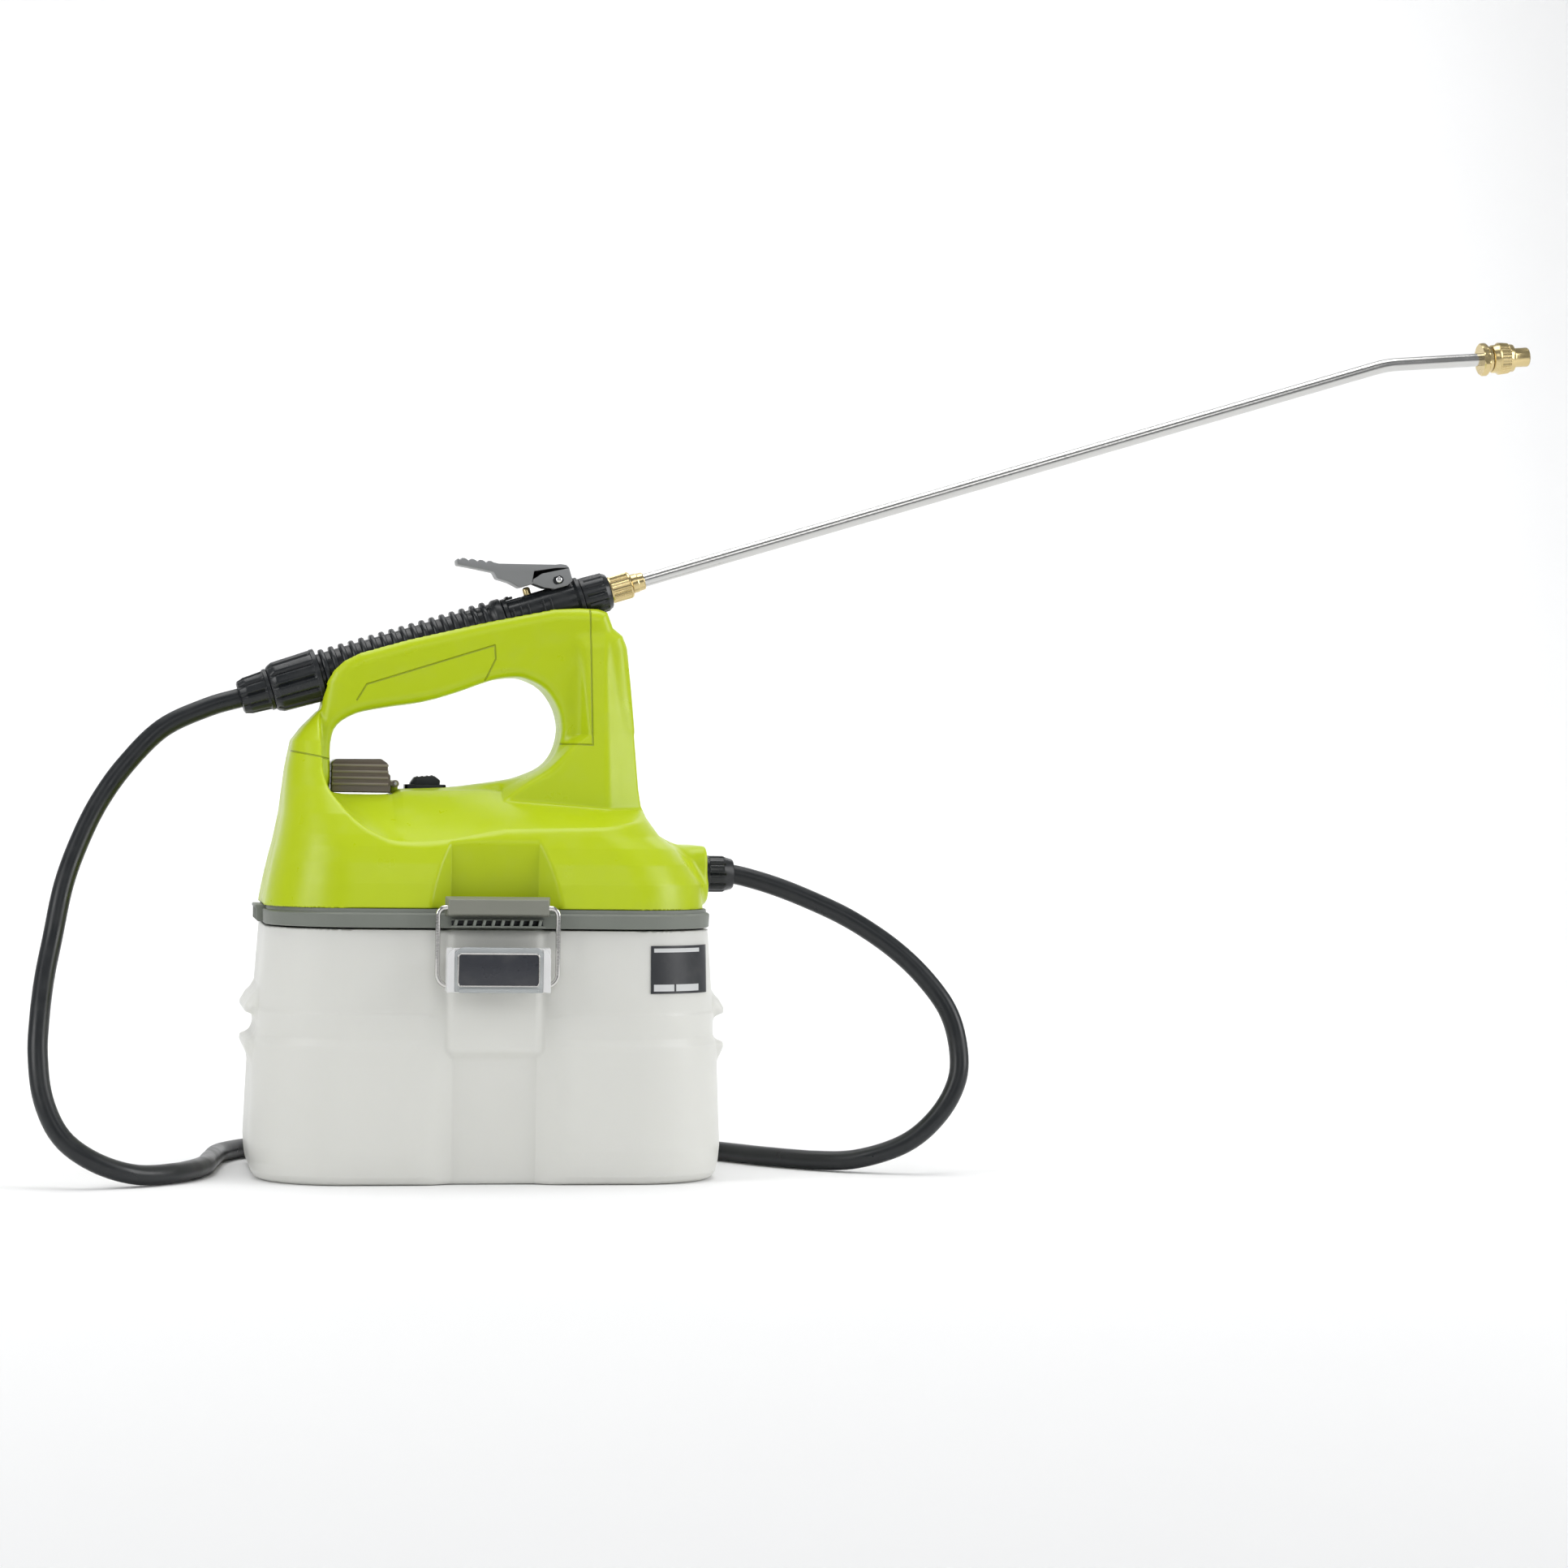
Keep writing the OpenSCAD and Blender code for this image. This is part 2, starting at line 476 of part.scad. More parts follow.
module valve_body() color(c_black) lance() difference() {
  union() {
    rod(31.2, 73, 9.6);
    rod(70.8, 73, 11.6);
    rod(31.2, 34, 11.2);
    // spring tower and pivot lug
    translate([46.5, 0, 0]) cylinder(h = 9.75, r = 4.2, $fn = 32);
    translate([58.6, -5.6, 0]) cube([10, 11.2, 12.6]);
    translate([63.5, 0, 12.6]) rotate([90, 0, 0]) cylinder(h = 11.2, r = 3.4, center = true, $fn = 32);
    translate([33, -5, 0]) cube([9.6, 10, 9.8]);
  }
  rod(30, 80, 2.6);
  translate([46.5, 0, 0]) cylinder(h = 20, r = 2.05, $fn = 24);
  translate([63.5, 0, 12.6]) rotate([90, 0, 0]) cylinder(h = 20, r = 1.52, center = true, $fn = 24);
}
module valve_stem() color(c_brass) lance() translate([46.5, 0, 0]) {
  translate([0, 0, 5.2]) cylinder(h = 8.6, r = 2, $fn = 24);
}
module trigger_lever() color(c_grey) lance() difference() {
  union() {
    xz([[16, 37.6], [33.5, 30.4], [36, 29.2], [64, 20.6], [70, 18.6], [70.4, 10], [67, 8.4], [60, 8.4], [55, 10.8], [50.5, 14.2],
      [43, 14.2], [38.5, 18.6], [33, 22.2], [32.2, 25.9], [15.4, 34.6]], 16);
    // finger serrations
    for (i = [0 : 3]) translate([18 + i * 4.2, 0, 36.4 - i * 1.73]) rotate([90, 0, 0]) cylinder(h = 16, r = 1.1, center = true, $fn = 16);
  }
  // hollow round the lug
  xz([[51.5, 7], [51.5, 16], [56.5, 19], [64, 18.2], [67.6, 16.8], [67.6, 14], [71.6, 13], [71.6, 7]], 11.8);
  translate([63.5, 0, 12.6]) rotate([90, 0, 0]) cylinder(h = 40, r = 1.52, center = true, $fn = 24);
}
module trigger_pin() color(c_steel) lance() translate([63.5, 0, 12.6]) rotate([90, 0, 0]) cylinder(h = 17, r = 1.5, center = true, $fn = 24);
module trigger_lock() color(c_grey) lance() {
  translate([34.4, -4.6, 9.9]) cube([3.6, 9.2, 1.3]);
  translate([34.4, -4.6, 9.9]) cube([1.6, 9.2, 1.9]);
}
module front_cap() color(c_black) lance() difference() {
  union() { rod(73.1, 86, 10.4, 10); rod(86, 88, 10, 8.8); }
  rod(70, 90, wand_d / 2 + 0.6);
  flutes(76, 85, 11, 14, 1.8);
}
module gland_nut() color(c_brass) lance() difference() {
  rod(88.1, 100, 7);
  rod(80, 110, wand_d / 2 + 0.06);
  flutes(88, 99, 7.15, 24, 1);
}
// wand: straight tube, bend, straight tube; carried on inside the cap
s_bend = 107 + wand_len;
bend_r = 60;
bend_t = bend_r * tan(wand_bend / 2);
module after_bend() translate([s_bend, 0, 0]) rotate([0, wand_bend, 0]) children();
// centreline in the lance frame, from a to b beyond the bend
function wand_path(a, b) = concat([[a, 0, 0], [200, 0, 0], [320, 0, 0], [s_bend - bend_t - 20, 0, 0]],
  [for (k = [0 : 6]) let (t = k * wand_bend / 6) [s_bend - bend_t + bend_r * sin(t), 0, bend_r * (cos(t) - 1)]],
  [for (d = [bend_t + 15, b]) [s_bend + d * cos(wand_bend), 0, -d * sin(wand_bend)]]);
wand_dir = [cos(wand_bend), 0, -sin(wand_bend)];
module wand_tube() color(c_steel) lance() difference() {
  sweep(wand_path(76, wand_end + 3.9), wand_d / 2, wand_dir, 24);
  sweep(wand_path(70, wand_end + 12), wand_d / 2 - 1, wand_dir, 12);
}
module wand_collar() color(c_brass) lance() difference() {
  rod(100.1, 107, 5, 4.6);
  rod(90, 110, wand_d / 2 + 0.01);
}
module nozzle_base() color(c_brass) lance() after_bend() translate([wand_end, 0, 0]) difference() {
  union() { rod(0, 3.4, 9); rod(3.4, 6, 7); rod(6, 14, 4.6); }
  rod(-1, 3.95, wand_d / 2 + 0.01);
  rod(-1, 20, 1.6);
}
module nozzle_tip() color(c_brass) lance() after_bend() translate([wand_end, 0, 0]) difference() {
  union() { rod(6.1, 10, 7.6); rod(10, 16, 8.6, 7.6); rod(16, 18, 7.6, 5.4); rod(18, 27, 5.2); }
  rod(6, 14.2, 4.65);
  rod(10, 30, 0.8);
  rod(24.4, 30, 1, 3.4);
  flutes(6, 15, 8.9, 24, 1);
}

tank();
tank_gasket();
collar_ring();
catch_front();
catch_rear();
base_plate();
shell_front();
shell_rear();
housing_screws();
battery_door();
door_pin();
battery_pack();
battery_contacts();
switch_housing();
power_rocker();
motor_can();
motor_bracket();
pump_head();
pump_rotor();
intake_tube();
intake_filter();
outlet_tube();
outlet_fitting();
outlet_nut();
hose();
latch_bracket_front();
latch_lever_front();
latch_badge_front();
latch_pin_front();
latch_bail_front();
bail_grip_front();
latch_bracket_rear();
latch_lever_rear();
latch_badge_rear();
latch_pin_rear();
latch_bail_rear();
bail_grip_rear();
rating_plate();
hose_nut();
grip_nut();
lance_core();
lance_grip();
valve_body();
valve_stem();
trigger_lever();
trigger_pin();
trigger_lock();
front_cap();
gland_nut();
wand_tube();
wand_collar();
nozzle_base();
nozzle_tip();
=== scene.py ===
import bpy
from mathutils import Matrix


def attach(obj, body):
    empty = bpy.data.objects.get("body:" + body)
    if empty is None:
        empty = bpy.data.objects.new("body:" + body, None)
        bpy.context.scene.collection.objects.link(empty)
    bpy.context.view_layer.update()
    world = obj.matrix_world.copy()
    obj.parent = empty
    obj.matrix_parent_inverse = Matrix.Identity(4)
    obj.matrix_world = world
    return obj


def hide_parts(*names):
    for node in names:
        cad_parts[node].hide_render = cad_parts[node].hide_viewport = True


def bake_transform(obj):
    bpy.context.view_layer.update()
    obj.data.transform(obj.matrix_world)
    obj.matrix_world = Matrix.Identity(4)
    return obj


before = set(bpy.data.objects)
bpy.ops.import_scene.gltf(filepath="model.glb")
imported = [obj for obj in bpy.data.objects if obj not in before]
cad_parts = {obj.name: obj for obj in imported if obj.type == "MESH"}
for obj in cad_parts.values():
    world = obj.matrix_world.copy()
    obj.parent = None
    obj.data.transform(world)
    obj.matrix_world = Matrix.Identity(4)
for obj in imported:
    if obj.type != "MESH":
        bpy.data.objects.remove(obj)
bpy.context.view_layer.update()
import bpy, bmesh, math
import numpy as np
from mathutils import Vector, Matrix

MM = 0.001
sc = bpy.context.scene
rad = math.radians
TILT = rad(17.3)
P0 = np.array([-20.0, 0.0, 275.1])
AX = np.array([math.cos(TILT), 0, math.sin(TILT)])
UP = np.array([-math.sin(TILT), 0, math.cos(TILT)])
YH = np.array([0.0, 1.0, 0.0])
BEND = rad(12.3)
S_BEND = 528.0
NB = P0 + S_BEND * AX
AXN = np.array([math.cos(TILT - BEND), 0, math.sin(TILT - BEND)])
UPN = np.array([-math.sin(TILT - BEND), 0, math.cos(TILT - BEND)])

# ------------------------------------------------------------------ camera
az, roll = rad(-10), rad(0.8)
bk = Vector((math.sin(az), -math.cos(az), 0))
rt = Vector((math.cos(az), math.sin(az), 0))
zz = Vector((0, 0, 1))
tgt = rt * 0.1555 + zz * 0.202
cx = rt * math.cos(roll) + zz * math.sin(roll)
cy = -rt * math.sin(roll) + zz * math.cos(roll)
cam_d = bpy.data.cameras.new("camera")
cam_d.sensor_width = 36
cam_d.lens = 90.95
cam_d.clip_end = 50
cam = bpy.data.objects.new("camera", cam_d)
sc.collection.objects.link(cam)
loc = tgt + bk * 2.05
cam.matrix_world = Matrix(((cx.x, cy.x, bk.x, loc.x), (cx.y, cy.y, bk.y, loc.y), (cx.z, cy.z, bk.z, loc.z), (0, 0, 0, 1)))
sc.camera = cam
sc.view_settings.view_transform = "Standard"


# ------------------------------------------------------------------ mesh helpers
def make(name, verts, faces, material=None, body="base", sharp=40, replaces=(), normals=None):
    me = bpy.data.meshes.new(name)
    me.from_pydata((np.asarray(verts, float) * MM).tolist(), [], [list(map(int, f)) for f in faces])
    me.update()
    bm = bmesh.new(); bm.from_mesh(me)
    bmesh.ops.recalc_face_normals(bm, faces=bm.faces)
    bm.to_mesh(me); bm.free()
    me.shade_smooth()
    if sharp:
        me.set_sharp_from_angle(angle=rad(sharp))
    ob = bpy.data.objects.new(name, me)
    sc.collection.objects.link(ob)
    if material:
        me.materials.append(material)
    if body:
        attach(ob, body)
    if replaces:
        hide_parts(*replaces)
    return ob


class Geo:
    """Gathers verts and faces, in millimetres."""
    def __init__(self):
        self.v, self.f = [], []

    def add(self, v, f, M=None):
        o = len(self.v)
        v = np.asarray(v, float)
        if M is not None:
            v = v @ M[:3, :3].T + M[:3, 3]
        self.v.extend(v.tolist())
        self.f.extend([[i + o for i in q] for q in f])
        return self


def frame_at(origin, x, y, z):
    M = np.eye(4)
    M[:3, 0], M[:3, 1], M[:3, 2], M[:3, 3] = x, y, z, origin
    return M


LANCE = frame_at(P0, AX, YH, UP)
NOZ = frame_at(NB, AXN, YH, UPN)
ROOT = np.eye(4)


def lathe(profile, n=64, mod=None, close=True):
    """Revolves (s, r) points round local X. mod(s, r, a) gives the radius at an angle."""
    v, f = [], []
    m = len(profile)
    ang = np.arange(n) * 2 * math.pi / n
    for s, r in profile:
        for a in ang:
            q = mod(s, r, a) if mod else r
            v.append((s, q * math.cos(a), q * math.sin(a)))
    for i in range(m - 1):
        for k in range(n):
            f.append([i * n + k, i * n + (k + 1) % n, (i + 1) * n + (k + 1) % n, (i + 1) * n + k])
    if close:
        f.append([k for k in range(n)])
        f.append([(m - 1) * n + k for k in range(n)][::-1])
    return v, f


def ring_lathe(profile, n=64, mod=None):
    """Closed profile loop revolved: a hollow piece."""
    v, f = [], []
    m = len(profile)
    ang = np.arange(n) * 2 * math.pi / n
    for s, r in profile:
        for a in ang:
            q = mod(s, r, a) if mod else r
            v.append((s, q * math.cos(a), q * math.sin(a)))
    for i in range(m):
        j = (i + 1) % m
        for k in range(n):
            f.append([i * n + k, i * n + (k + 1) % n, j * n + (k + 1) % n, j * n + k])
    return v, f


def rbox(c, s, r=0.6, seg=3):
    """Box with rounded edges, centre c and size s, in millimetres."""
    bm = bmesh.new()
    bmesh.ops.create_cube(bm, size=1.0)
    for v in bm.verts:
        v.co = Vector((v.co.x * s[0], v.co.y * s[1], v.co.z * s[2]))
    if r > 0:
        bmesh.ops.bevel(bm, geom=list(bm.edges), offset=min(r, min(s) * 0.49), segments=seg, profile=0.5, affect="EDGES")
    bm.verts.index_update()
    v = [(p.co.x + c[0], p.co.y + c[1], p.co.z + c[2]) for p in bm.verts]
    f = [[p.index for p in q.verts] for q in bm.faces]
    bm.free()
    return v, f


def prism(pts, t, r=0.6, seg=3):
    """Outline in local X, Z, thickness t on Y, with rounded edges."""
    bm = bmesh.new()
    a = [bm.verts.new((x, -t / 2, z)) for x, z in pts]
    b = [bm.verts.new((x, t / 2, z)) for x, z in pts]
    bm.faces.new(a); bm.faces.new(b[::-1])
    n = len(pts)
    for i in range(n):
        bm.faces.new([a[i], b[i], b[(i + 1) % n], a[(i + 1) % n]])
    bmesh.ops.recalc_face_normals(bm, faces=bm.faces)
    if r > 0:
        es = [e for e in bm.edges if e.calc_face_angle(0) > rad(25)]
        bmesh.ops.bevel(bm, geom=es, offset=r, segments=seg, profile=0.5, affect="EDGES", clamp_overlap=True)
    bm.verts.index_update()
    v = [tuple(p.co) for p in bm.verts]
    f = [[p.index for p in q.verts] for q in bm.faces]
    bm.free()
    return v, f


def tube(path, r, n=16, up=(0, 0, 1), cap=True, rmod=None):
    p = np.asarray(path, float)
    t = np.gradient(p, axis=0)
    t /= np.linalg.norm(t, axis=1)[:, None]
    s = np.array(up, float)
    v, f = [], []
    for i in range(len(p)):
        s = s - (s @ t[i]) * t[i]
        s /= np.linalg.norm(s)
        w = np.cross(t[i], s)
        q = rmod(i) if rmod else r
        for k in range(n):
            a = 2 * math.pi * k / n
            v.append(p[i] + q * (math.cos(a) * s + math.sin(a) * w))
    for i in range(len(p) - 1):
        for k in range(n):
            f.append([i * n + k, i * n + (k + 1) % n, (i + 1) * n + (k + 1) % n, (i + 1) * n + k])
    if cap:
        f.append(list(range(n)))
        f.append([(len(p) - 1) * n + k for k in range(n)][::-1])
    return v, f


def crom(route, step):
    r = [np.array(q, float) for q in route]
    out = []
    for i in range(len(r) - 1):
        a, b, c, d = r[max(0, i - 1)], r[i], r[i + 1], r[min(len(r) - 1, i + 2)]
        n = max(2, int(np.linalg.norm(c - b) / step))
        for k in range(n):
            t = k / n
            out.append(0.5 * (2 * b + (c - a) * t + (2 * a - 5 * b + 4 * c - d) * t * t + (3 * b - a - 3 * c + d) * t ** 3))
    out.append(r[-1])
    return np.array(out)


# ------------------------------------------------------------------ materials
def node(nt, kind, **kw):
    n = nt.nodes.new(kind)
    for k, v in kw.items():
        setattr(n, k, v)
    return n


def plastic(name, col, rough=0.35, var=0.08, bump=0.06, grain=900.0, spec=0.5, coat=0.0, sss=0.0, sss_r=(1, 1, 1), trans=0.0, dirt=0.12,
            metal=0.0, mottled=0.05, stretch=None, ior=1.46, alpha=1.0, edge=0.0, fine=None, aniso=0.0):
    """Procedural finish: colour mottling, roughness change, moulded grain, faint rubs and dust."""
    m = bpy.data.materials.new(name)
    m.use_nodes = True
    nt = m.node_tree
    nt.nodes.clear()
    out = node(nt, "ShaderNodeOutputMaterial")
    b = node(nt, "ShaderNodeBsdfPrincipled")
    nt.links.new(b.outputs[0], out.inputs[0])
    tc = node(nt, "ShaderNodeTexCoord")
    mp = node(nt, "ShaderNodeMapping")
    if stretch:
        mp.inputs["Rotation"].default_value = stretch[0]
        mp.inputs["Scale"].default_value = stretch[1]
    nt.links.new(tc.outputs["Object"], mp.inputs[0])
    big = node(nt, "ShaderNodeTexNoise"); big.inputs["Scale"].default_value = 14; big.inputs["Detail"].default_value = 5
    mid = node(nt, "ShaderNodeTexNoise"); mid.inputs["Scale"].default_value = 90; mid.inputs["Detail"].default_value = 6
    gr = node(nt, "ShaderNodeTexNoise"); gr.inputs["Scale"].default_value = grain; gr.inputs["Detail"].default_value = 3
    for n in (big, mid):
        nt.links.new(tc.outputs["Object"], n.inputs["Vector"])
    nt.links.new(mp.outputs[0], gr.inputs["Vector"])
    # colour
    r1 = node(nt, "ShaderNodeMapRange"); r1.inputs["To Min"].default_value = 1 - mottled; r1.inputs["To Max"].default_value = 1 + mottled
    nt.links.new(big.outputs["Fac"], r1.inputs["Value"])
    hsv = node(nt, "ShaderNodeHueSaturation"); hsv.inputs["Color"].default_value = (*col, 1)
    nt.links.new(r1.outputs[0], hsv.inputs["Value"])
    dust = node(nt, "ShaderNodeMapRange"); dust.inputs["From Min"].default_value = 0.52; dust.inputs["From Max"].default_value = 0.8
    dust.inputs["To Max"].default_value = dirt
    nt.links.new(mid.outputs["Fac"], dust.inputs["Value"])
    mix = node(nt, "ShaderNodeMix", data_type="RGBA")
    lum = sum(col) / 3
    mix.inputs["B"].default_value = (lum * 0.5 + 0.22, lum * 0.5 + 0.21, lum * 0.5 + 0.19, 1)
    nt.links.new(dust.outputs[0], mix.inputs["Factor"])
    nt.links.new(hsv.outputs[0], mix.inputs["A"])
    nt.links.new(mix.outputs["Result"], b.inputs["Base Color"])
    # roughness
    r2 = node(nt, "ShaderNodeMapRange"); r2.inputs["From Min"].default_value = 0.3; r2.inputs["From Max"].default_value = 0.7
    r2.inputs["To Min"].default_value = max(0.02, rough - var); r2.inputs["To Max"].default_value = min(1, rough + var)
    nt.links.new(mid.outputs["Fac"], r2.inputs["Value"])
    nt.links.new(r2.outputs[0], b.inputs["Roughness"])
    # grain and slow sink marks
    bp = node(nt, "ShaderNodeBump"); bp.inputs["Strength"].default_value = bump; bp.inputs["Distance"].default_value = 0.0004
    nt.links.new(gr.outputs["Fac"], bp.inputs["Height"])
    bp2 = node(nt, "ShaderNodeBump"); bp2.inputs["Strength"].default_value = 0.10; bp2.inputs["Distance"].default_value = 0.0012
    nt.links.new(big.outputs["Fac"], bp2.inputs["Height"])
    nt.links.new(bp.outputs[0], bp2.inputs["Normal"])
    nt.links.new(bp2.outputs[0], b.inputs["Normal"])
    b.inputs["Metallic"].default_value = metal
    b.inputs["IOR"].default_value = ior
    b.inputs["Specular IOR Level"].default_value = spec
    b.inputs["Coat Weight"].default_value = coat
    b.inputs["Subsurface Weight"].default_value = sss
    b.inputs["Subsurface Radius"].default_value = sss_r
    b.inputs["Subsurface Scale"].default_value = 0.02
    b.inputs["Transmission Weight"].default_value = trans
    b.inputs["Anisotropic"].default_value = aniso
    b.inputs["Alpha"].default_value = alpha
    m["b"] = b.name
    m["last"] = bp2.name
    return m


GREEN = (0.48, 0.60, 0.006)
M_green = plastic("green_moulded", GREEN, rough=0.33, var=0.06, bump=0.05, spec=0.45, sss=0.12, sss_r=(0.3, 0.4, 0.05), dirt=0.03, mottled=0.02)
M_tank = plastic("tank_poly", (0.73, 0.73, 0.69), rough=0.40, var=0.07, bump=0.08, spec=0.4, sss=0.25, sss_r=(1.0, 1.0, 0.9), dirt=0.03, mottled=0.025)
M_grey = plastic("grey_moulded", (0.185, 0.20, 0.175), rough=0.48, var=0.08, bump=0.10, dirt=0.06)
M_trig = plastic("trigger_moulded", (0.22, 0.225, 0.23), rough=0.42, var=0.08, bump=0.10, dirt=0.06)
M_black = plastic("black_moulded", (0.012, 0.014, 0.016), rough=0.30, var=0.10, bump=0.08, spec=0.5, dirt=0.03)
M_hose = plastic("hose_pvc", (0.010, 0.012, 0.014), rough=0.34, var=0.08, bump=0.05, spec=0.5, dirt=0.03)
M_seal = plastic("seal_rubber", (0.02, 0.02, 0.02), rough=0.7, bump=0.2)
M_smoke = plastic("smoked_door", (0.16, 0.13, 0.105), rough=0.18, var=0.06, bump=0.04, trans=0.45, ior=1.49, dirt=0.05)
M_clear = plastic("clear_plate", (0.72, 0.75, 0.76), rough=0.12, var=0.05, bump=0.02, trans=0.55, ior=1.49, dirt=0.04)
M_grey2 = plastic("grip_block", (0.22, 0.225, 0.19), rough=0.40, var=0.08, bump=0.10, dirt=0.05)
M_white = plastic("white_cheek", (0.74, 0.74, 0.74), rough=0.38, var=0.06, bump=0.06, dirt=0.03)
M_badge = plastic("badge_film", (0.035, 0.037, 0.045), rough=0.30, var=0.06, bump=0.03)
M_chrome = plastic("chromed_wire", (0.62, 0.61, 0.59), rough=0.12, var=0.05, bump=0.06, metal=1.0, dirt=0.03)
M_smoke2 = plastic("smoked_ribs", (0.30, 0.255, 0.21), rough=0.22, var=0.06, bump=0.04, trans=0.25, ior=1.49, dirt=0.05)
M_label = plastic("label_film", (0.028, 0.03, 0.034), rough=0.38, var=0.06, bump=0.03)
M_labelw = plastic("label_panel", (0.62, 0.63, 0.63), rough=0.45, var=0.06, bump=0.03)
M_steel = plastic("bright_steel", (0.68, 0.68, 0.68), rough=0.20, var=0.07, bump=0.10, metal=1.0, grain=700, stretch=((0, 0, 0), (0.12, 8, 8)), dirt=0.05)
M_wand = plastic("drawn_tube", (0.62, 0.615, 0.60), rough=0.16, var=0.06, bump=0.10, metal=1.0, grain=600, stretch=((0, TILT, 0), (0.05, 6, 6)), dirt=0.06)
M_brass = plastic("turned_brass", (0.66, 0.53, 0.27), rough=0.26, var=0.09, bump=0.12, metal=1.0, dirt=0.12, mottled=0.12)
M_zinc = plastic("zinc_can", (0.42, 0.43, 0.44), rough=0.42, metal=0.8, dirt=0.1)


# ------------------------------------------------------------------ hose (a cord, made first)
route = [[119.2, 0, 154.5], [131, 0, 154.5], [152, -1, 149], [173, -3, 141], [194, -6, 131], [215, -10, 117], [231, -14, 102], 
         [243, -19, 85], [248, -23, 67], [247, -27, 49], [237, -29, 31], [220, -27, 16], [196, -18, 7], [174, -2, 5], 
         [154, 20, 5], [135, 48, 5], [112, 76, 5], [78, 96, 5], [30, 106, 5], [-22, 107, 5], [-70, 102, 5], [-108, 84, 5], 
         [-130, 50, 5], [-137, 10, 5], [-142, -26, 5], [-155, -58, 5], [-176, -78, 6], [-196, -86, 13], [-212, -86, 25], 
         [-221, -81, 43], [-224, -74, 64], [-223.5, -65, 82], [-221.5, -53, 101], [-218, -42, 120], [-213, -31, 146], 
         [-205.5, -21, 168], [-196, -13, 188], [-183, -7, 207], [-164.6, -2, 226], [-142, 0, 237.1], [-125.5, 0, 242.2], 
         [-119.4, 0, 244.1]]
hp = crom(route, 3.0)
hp[:, 2] = np.maximum(hp[:, 2], 5.0)
v, f = tube(hp, 5.0, n=28)
hose = make("Hose", v, f, M_hose, body=None, sharp=0, replaces=["hose"])
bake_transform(hose)


# ------------------------------------------------------------------ signed distances (mm), for the moulded shells
def smin(a, b, k):
    h = np.maximum(k - np.abs(a - b), 0) / k
    return np.minimum(a, b) - h * h * k * 0.25


def smax(a, b, k):
    return -smin(-a, -b, k)


def rrect(x, y, a, b, r):
    qx, qy = np.abs(x) - a + r, np.abs(y) - b + r
    return np.hypot(np.maximum(qx, 0), np.maximum(qy, 0)) + np.minimum(np.maximum(qx, qy), 0) - r


def loft(X, Y, Z, rows, soft=0.0):
    """Rounded rectangle whose ends, half depth and corner radius follow the height. rows: z, x0, x1, hd, r."""
    rows = np.array(rows, float)
    z = rows[:, 0]
    if soft:
        zs = np.linspace(z[0], z[-1], 600)
        cols = []
        w = max(3, int(soft / (zs[1] - zs[0])) | 1)
        ker = np.hanning(w + 2)[1:-1]; ker /= ker.sum()
        for c in range(1, 5):
            y = np.interp(zs, z, rows[:, c])
            e = w // 2
            # straight continuation at both ends so that the end sizes stay
            yy = np.concatenate([y[0] + (y[1] - y[0]) * np.arange(-e, 0), y, y[-1] + (y[-1] - y[-2]) * np.arange(1, e + 1)])
            cols.append(np.convolve(yy, ker, mode="valid"))
        z = zs
    else:
        cols = [rows[:, c] for c in range(1, 5)]
    x0, x1, hd, r = (np.interp(Z, z, c) for c in cols)
    d = rrect(X - (x0 + x1) / 2, Y, (x1 - x0) / 2, hd, r)
    return np.maximum(d, np.maximum(rows[0, 0] - Z, Z - rows[-1, 0]))


def poly_sd(X, Z, pts):
    """Signed distance to a polygon in the XZ plane."""
    pts = np.array(pts, float)
    d = np.full(X.shape, 1e9, np.float32)
    s = np.ones(X.shape, np.float32)
    n = len(pts)
    for i in range(n):
        a, b = pts[i], pts[(i + 1) % n]
        e = b - a
        wx, wz = X - a[0], Z - a[1]
        t = np.clip((wx * e[0] + wz * e[1]) / (e @ e), 0, 1)
        bx, bz = wx - e[0] * t, wz - e[1] * t
        d = np.minimum(d, bx * bx + bz * bz)
        c1, c2, c3 = Z >= a[1], Z < b[1], e[0] * wz > e[1] * wx
        flip = (c1 & c2 & c3) | (~c1 & ~c2 & ~c3)
        s = np.where(flip, -s, s)
    return s * np.sqrt(d)


def smooth_poly(pts, closed=True, n=6):
    p = [np.array(q, float) for q in pts]
    m = len(p)
    out = []
    for i in range(m):
        a, b, c, d = p[(i - 1) % m], p[i], p[(i + 1) % m], p[(i + 2) % m]
        for k in range(n):
            t = k / n
            out.append(0.5 * (2 * b + (c - a) * t + (2 * a - 5 * b + 4 * c - d) * t * t + (3 * b - a - 3 * c + d) * t ** 3))
    return out


def box_sd(X, Y, Z, c, h, r):
    qx, qy, qz = np.abs(X - c[0]) - h[0] + r, np.abs(Y - c[1]) - h[1] + r, np.abs(Z - c[2]) - h[2] + r
    return np.sqrt(np.maximum(qx, 0) ** 2 + np.maximum(qy, 0) ** 2 + np.maximum(qz, 0) ** 2) + np.minimum(np.maximum(np.maximum(qx, qy), qz), 0) - r


